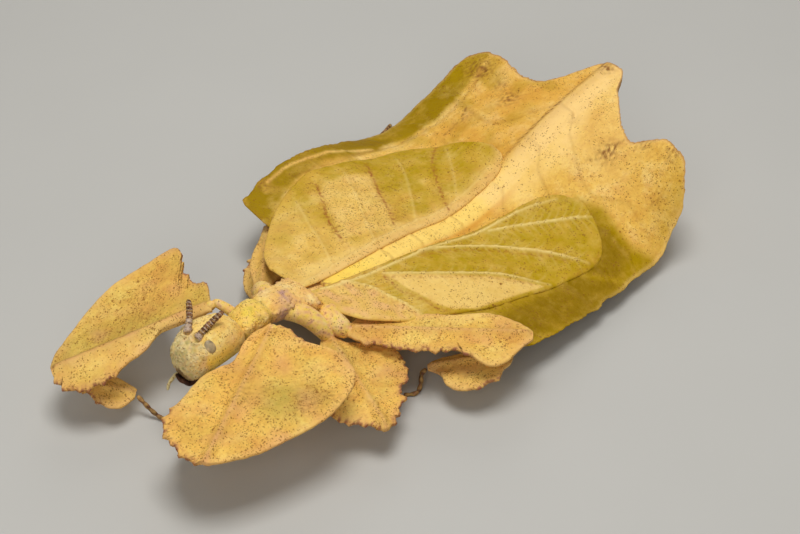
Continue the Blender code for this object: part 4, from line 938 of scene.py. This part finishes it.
antennaLook = {"tips": {"left": (-52.6, -1.4, 20), "right": (-54.6, 4.1, 20.35)}, "segments": 9,
               "radius": 0.56, "paleTo": {"left": 1.3, "right": 3.4}, "hairs": 36, "highest": 20.5}


def makeAntenna(name):
    look = antennaLook
    side = sides[name]
    x, y, z = headLook["antenna"]
    base = np.array([x, side * y, z - 0.5])
    run = np.array(look["tips"][name]) - base
    axis = direction(run)
    sideways = direction(np.cross(axis, [0, 0, 1.0]))
    up = np.cross(sideways, axis)
    bow = np.cross(axis, [0, 0, 1.0]) * 0.25 * side
    shares = np.linspace(0, 0.985, 150)
    stations = shares * look["segments"]
    number = np.floor(stations)
    inside = stations - number
    size = look["radius"] * np.where(number == 0, 1.2, np.where(number == 1, 1.05, 1 - 0.02 * number))
    size = size * (0.8 + 0.2 * np.sqrt(unit(np.sin(math.pi * np.clip(inside, 0.02, 0.98)))))
    size = size * np.sqrt(np.clip(1 - shares ** 14, 0.05, 1))
    places = base + run * shares[:, None] + bow * np.sin(shares * math.pi)[:, None]
    angle = turns(20)[None, :, None]
    bodies = [places[:, None] + size[:, None, None] * (np.cos(angle) * sideways + np.sin(angle) * up)]
    fleck = softNoise(bodies[0], 0.34, 62 + side)
    banded = np.where(stations < look["paleTo"][name], 0.9 - 0.6 * hump(stations - 2.2, 0.35) * (side > 0),
                      np.where((inside < 0.16) | (inside > 0.86), 0.7, 0))
    pale = [unit(banded[:, None] - 0.7 * (fleck < -0.6)).ravel()]
    tan = unit(0.9 * (fleck > 0.3)).ravel()
    rng = random.Random(60 + side)
    for _ in range(look["hairs"]):
        share = rng.uniform(0.14, 0.97)
        turn = rng.uniform(0, 2 * math.pi)
        centre = base + run * share + bow * math.sin(share * math.pi)
        out = math.cos(turn) * sideways + math.sin(turn) * up
        root = centre + out * look["radius"] * 0.7
        end = centre + out * (look["radius"] + 0.05) + axis * 0.15
        if end[2] <= look["highest"]:
            bodies.append(tubeShape([root, (root + end) / 2, end], [0.035, 0.03, 0.012], around=5, steps=3))
            pale.append(np.full(bodies[-1][..., 0].size, 0.15))
    points, faces = joinRings(bodies)
    makePiece("feeler_" + name, points, faces, darkSkin,
              {"pale": np.concatenate(pale), "tan": np.resize(tan, len(points))}, ["antenna_" + name])


palpLook = {"path": [(-58.4, 1.8, 10.5), (-59.7, 2.8, 9), (-60.9, 2.7, 8.3), (-61.5, 2.3, 7.7)],
            "sizes": [0.26, 0.32, 0.34, 0.24, 0.32, 0.34, 0.24, 0.3, 0.3, 0.22, 0.26, 0.24, 0.16]}


def makeMouth():
    # upper lip, two jaws and lower lip
    upper = [(-60.2, -1.5, 10.7), (-60.5, 0, 10.6), (-60.2, 1.5, 10.7)]
    lower = [(-57, 0, 10.9), (-58.6, 0, 10.5), (-60.3, 0, 10.3)]
    bodies = [tubeShape(upper, [0.2, 0.32, 0.36, 0.32, 0.2], around=24, flat=1.1)]
    for side in (-1, 1):
        jaw = [(-58.8, side * 1.6, 10.9), (-59.8, side * 1.2, 10.2), (-60.2, side * 0.3, 9.9)]
        bodies.append(tubeShape(jaw, [0.4, 0.45, 0.34, 0.14], around=18, steps=30))
    bodies.append(tubeShape(lower, [1.2, 1.75, 1.7, 1.2], around=30, steps=30, flat=0.5))
    points, faces = joinRings(bodies)
    makePiece("jaws", points, faces, darkSkin, {"black": 0.8}, ["mouthparts"])
    for name, side in sides.items():
        path = np.array(palpLook["path"]) * [1, side, 1]
        points, faces = joinRings([tubeShape(path, palpLook["sizes"], steps=60)])
        makePiece("mouthFeeler_" + name, points, faces, bodySkin, {"grey": 0.9, "dark": 0.2},
                  ["palp_" + name])


for name in sides:
    makeAntenna(name)
makeMouth()
print("antennae and mouth made")

# Hips: the radius of each, and the paths of those that run on into the thorax
hipSize = {"fore_left": 0.95, "fore_right": 0.8, "mid_left": 1.62, "mid_right": 1.7, "hind_left": 1.75,
           "hind_right": 1.3}
hipPaths = {"mid_left": [(-41.2, -0.4, 12.9), (-39.9, -2, 12.8), (-38.9, -3.6, 12.3), (-38.1, -5, 11.3),
                         (-37.4, -6.2, 9.9), (-37, -7, 8.6), (-36.9, -7.6, 7.8)],
            "mid_right": [(-41, 1.6, 12.8), (-40.2, 3.6, 12.6), (-39.2, 5.4, 11.8), (-38.2, 7, 10.4),
                          (-37.6, 7.8, 9.6)],
            "hind_left": [(-34.2, -3.4, 10.8), (-34.9, -5.2, 10.6), (-35.1, -7, 10.1), (-34.8, -8.4, 9.5),
                          (-34.5, -9.6, 9.2)]}


def makeHip(name, place, seed):  # hip joint, then the small ring that carries the thigh
    hip, knee = np.array(place["hip"]), np.array(place["knee"])
    along = direction(knee - hip)
    root, middle, end = np.array(place["coxa"])
    path = hipPaths.get(name) or [root + (root - middle) * 0.5, root, middle, end, hip - along * 0.2]
    points, faces = joinRings([
        tubeShape(path, np.array([1.05, 1.05, 1, 0.92, 0.66]) * hipSize[name], around=40, steps=44),
        tubeShape([hip - along * 0.8, hip + along * 0.2, hip + along], [0.6, 0.8, 0.7], around=22, steps=18)])
    cloud = softNoise(points, 1, seed)
    low = fall(-1.4, -0.6, (points - np.mean(path, 0)) @ [0.55, -0.35, 1])
    makePiece("hip_" + name, points, faces, bodySkin,
              {"pink": unit(0.35 + 0.4 * cloud), "red": unit(cloud - 0.7) + 0.5 * low,
               "lilac": 0.5 * low * unit(0.4 + cloud), "light": unit(0.35 - 0.5 * cloud), "dust": 0.1},
              ["coxa_" + name])


def makeFoot(name, place, seed):  # foot of five segments with a pad and two claws
    ankle, foot = np.array(place["ankle"]), np.array(place["foot"])
    sizes = [size for k in range(5) for size in (0.27, 0.34, 0.4 - 0.01 * k, 0.36)]
    run = direction((foot[-1] - foot[-2]) * [1, 1, 0])
    beside = np.array([-run[1], run[0], 0])
    tip = foot[-1] - run * 0.75
    bodies = [tubeShape([ankle + (foot[0] - ankle) * 0.2, *foot], sizes, steps=90),
              tubeShape([tip, tip + run * 0.35 - [0, 0, 0.05]], [0.22, 0.26, 0.18], around=14, steps=10,
                        flat=0.6)]
    for turn in (-1, 1):
        claw = [tip + run * ahead + beside * turn * out + [0, 0, high]
                for ahead, out, high in ((0, 0, 0), (0.25, 0.2, 0.16), (0.45, 0.24, -0.05),
                                         (0.42, 0.22, -0.2))]
        bodies.append(tubeShape(claw, [0.1, 0.09, 0.06, 0.02], around=8, steps=14))
    points, faces = joinRings(bodies)
    makePiece("foot_" + name, points, faces, darkSkin,
              {"tan": unit(0.4 + 0.5 * softNoise(points, 0.9, seed))}, ["tarsus_" + name])


for number, (name, place) in enumerate(legPlaces.items()):
    makeHip(name, place, 70 + number)
    makeFoot(name, place, 80 + number)
for name, side in sides.items():
    path = [(37.9, side * 1.5, 15.6), (38.6, side * 1.5, 15.55), (40.2, side * 1.7, 16),
            (41.7, side * 1.9, 16.3)]
    points, faces = joinRings([tubeShape(path, [0.5, 0.55, 0.5, 0.42, 0.14], around=18, flat=0.6)])
    makePiece("tailFeeler_" + name, points, faces, leafSkin, {"red": 0.3}, ["cercus_" + name])
print("hips, feet and tail feelers made")

# Stage: a plain pale floor, soft light and the camera at the photo's angle
stageLook = {
    "floor": "#BFBDB7", "floorDeep": "#BDBBB5", "floorHalf": 1500, "air": "#F4F2EE", "airStrength": 0.22,
    "lamps": {"key": ((-15, -10, 440), 200, 1.25), "fill": ((-320, -220, 220), 260, 0.5),
              "rim": ((260, 240, 260), 240, 0.25)},
    "middle": (-10, 0, 8), "camera": (-166.852, -147.872, 177.358), "toward": (0.559032, 0.539851, -0.62932),
    "lens": 74, "film": 36,
}


def link(name, data):
    thing = bpy.data.objects.new(name, data)
    bpy.context.collection.objects.link(thing)
    return thing


def aim(thing, place, toward):
    thing.location = place
    thing.rotation_euler = toward.to_track_quat("-Z", "Y").to_euler()


def makeStage():
    # Painted board: an even pale matt surface.
    paint, tree, shader, place = newMaterial("paintedBoard")
    faint = addNode(tree, "TexNoise", {"Vector": place, "Scale": perMetre(40), "Detail": 3})
    tone = addNode(tree, "ValToRGB", {"Fac": faint},
                   stops=[(0.3, stageLook["floorDeep"]), (0.7, stageLook["floor"])])
    setInputs(tree, shader, {"Base Color": tone, "Roughness": 0.8})
    half = stageLook["floorHalf"] * mm
    corners = [(-half, -half, 0), (half, -half, 0), (half, half, 0), (-half, half, 0)]
    mesh = bpy.data.meshes.new("floor")
    mesh.from_pydata(corners, [], [(0, 1, 2, 3)])
    mesh.materials.append(paint)
    floor = link("floor", mesh)
    for name, (place, size, power) in stageLook["lamps"].items():
        light = bpy.data.lights.new(name, "AREA")
        light.size = size * mm
        light.energy = power
        aim(link(name, light), Vector(place) * mm, Vector(stageLook["middle"]) - Vector(place))
    world = bpy.data.worlds.new("softRoom")
    world.use_nodes = True
    setInputs(world.node_tree, world.node_tree.nodes["Background"],
              {"Color": linearColour(stageLook["air"]), "Strength": stageLook["airStrength"]})
    bpy.context.scene.world = world
    # shown as they are: the colours of the cuticle are taken as seen
    bpy.context.scene.view_settings.view_transform = "Standard"
    lens = bpy.data.cameras.new("photoCamera")
    lens.lens = stageLook["lens"]
    lens.sensor_width = stageLook["film"]
    lens.clip_start = 5 * mm
    camera = link("photoCamera", lens)
    aim(camera, Vector(stageLook["camera"]) * mm, Vector(stageLook["toward"]))
    bpy.context.scene.camera = camera


makeStage()
print("stage made")
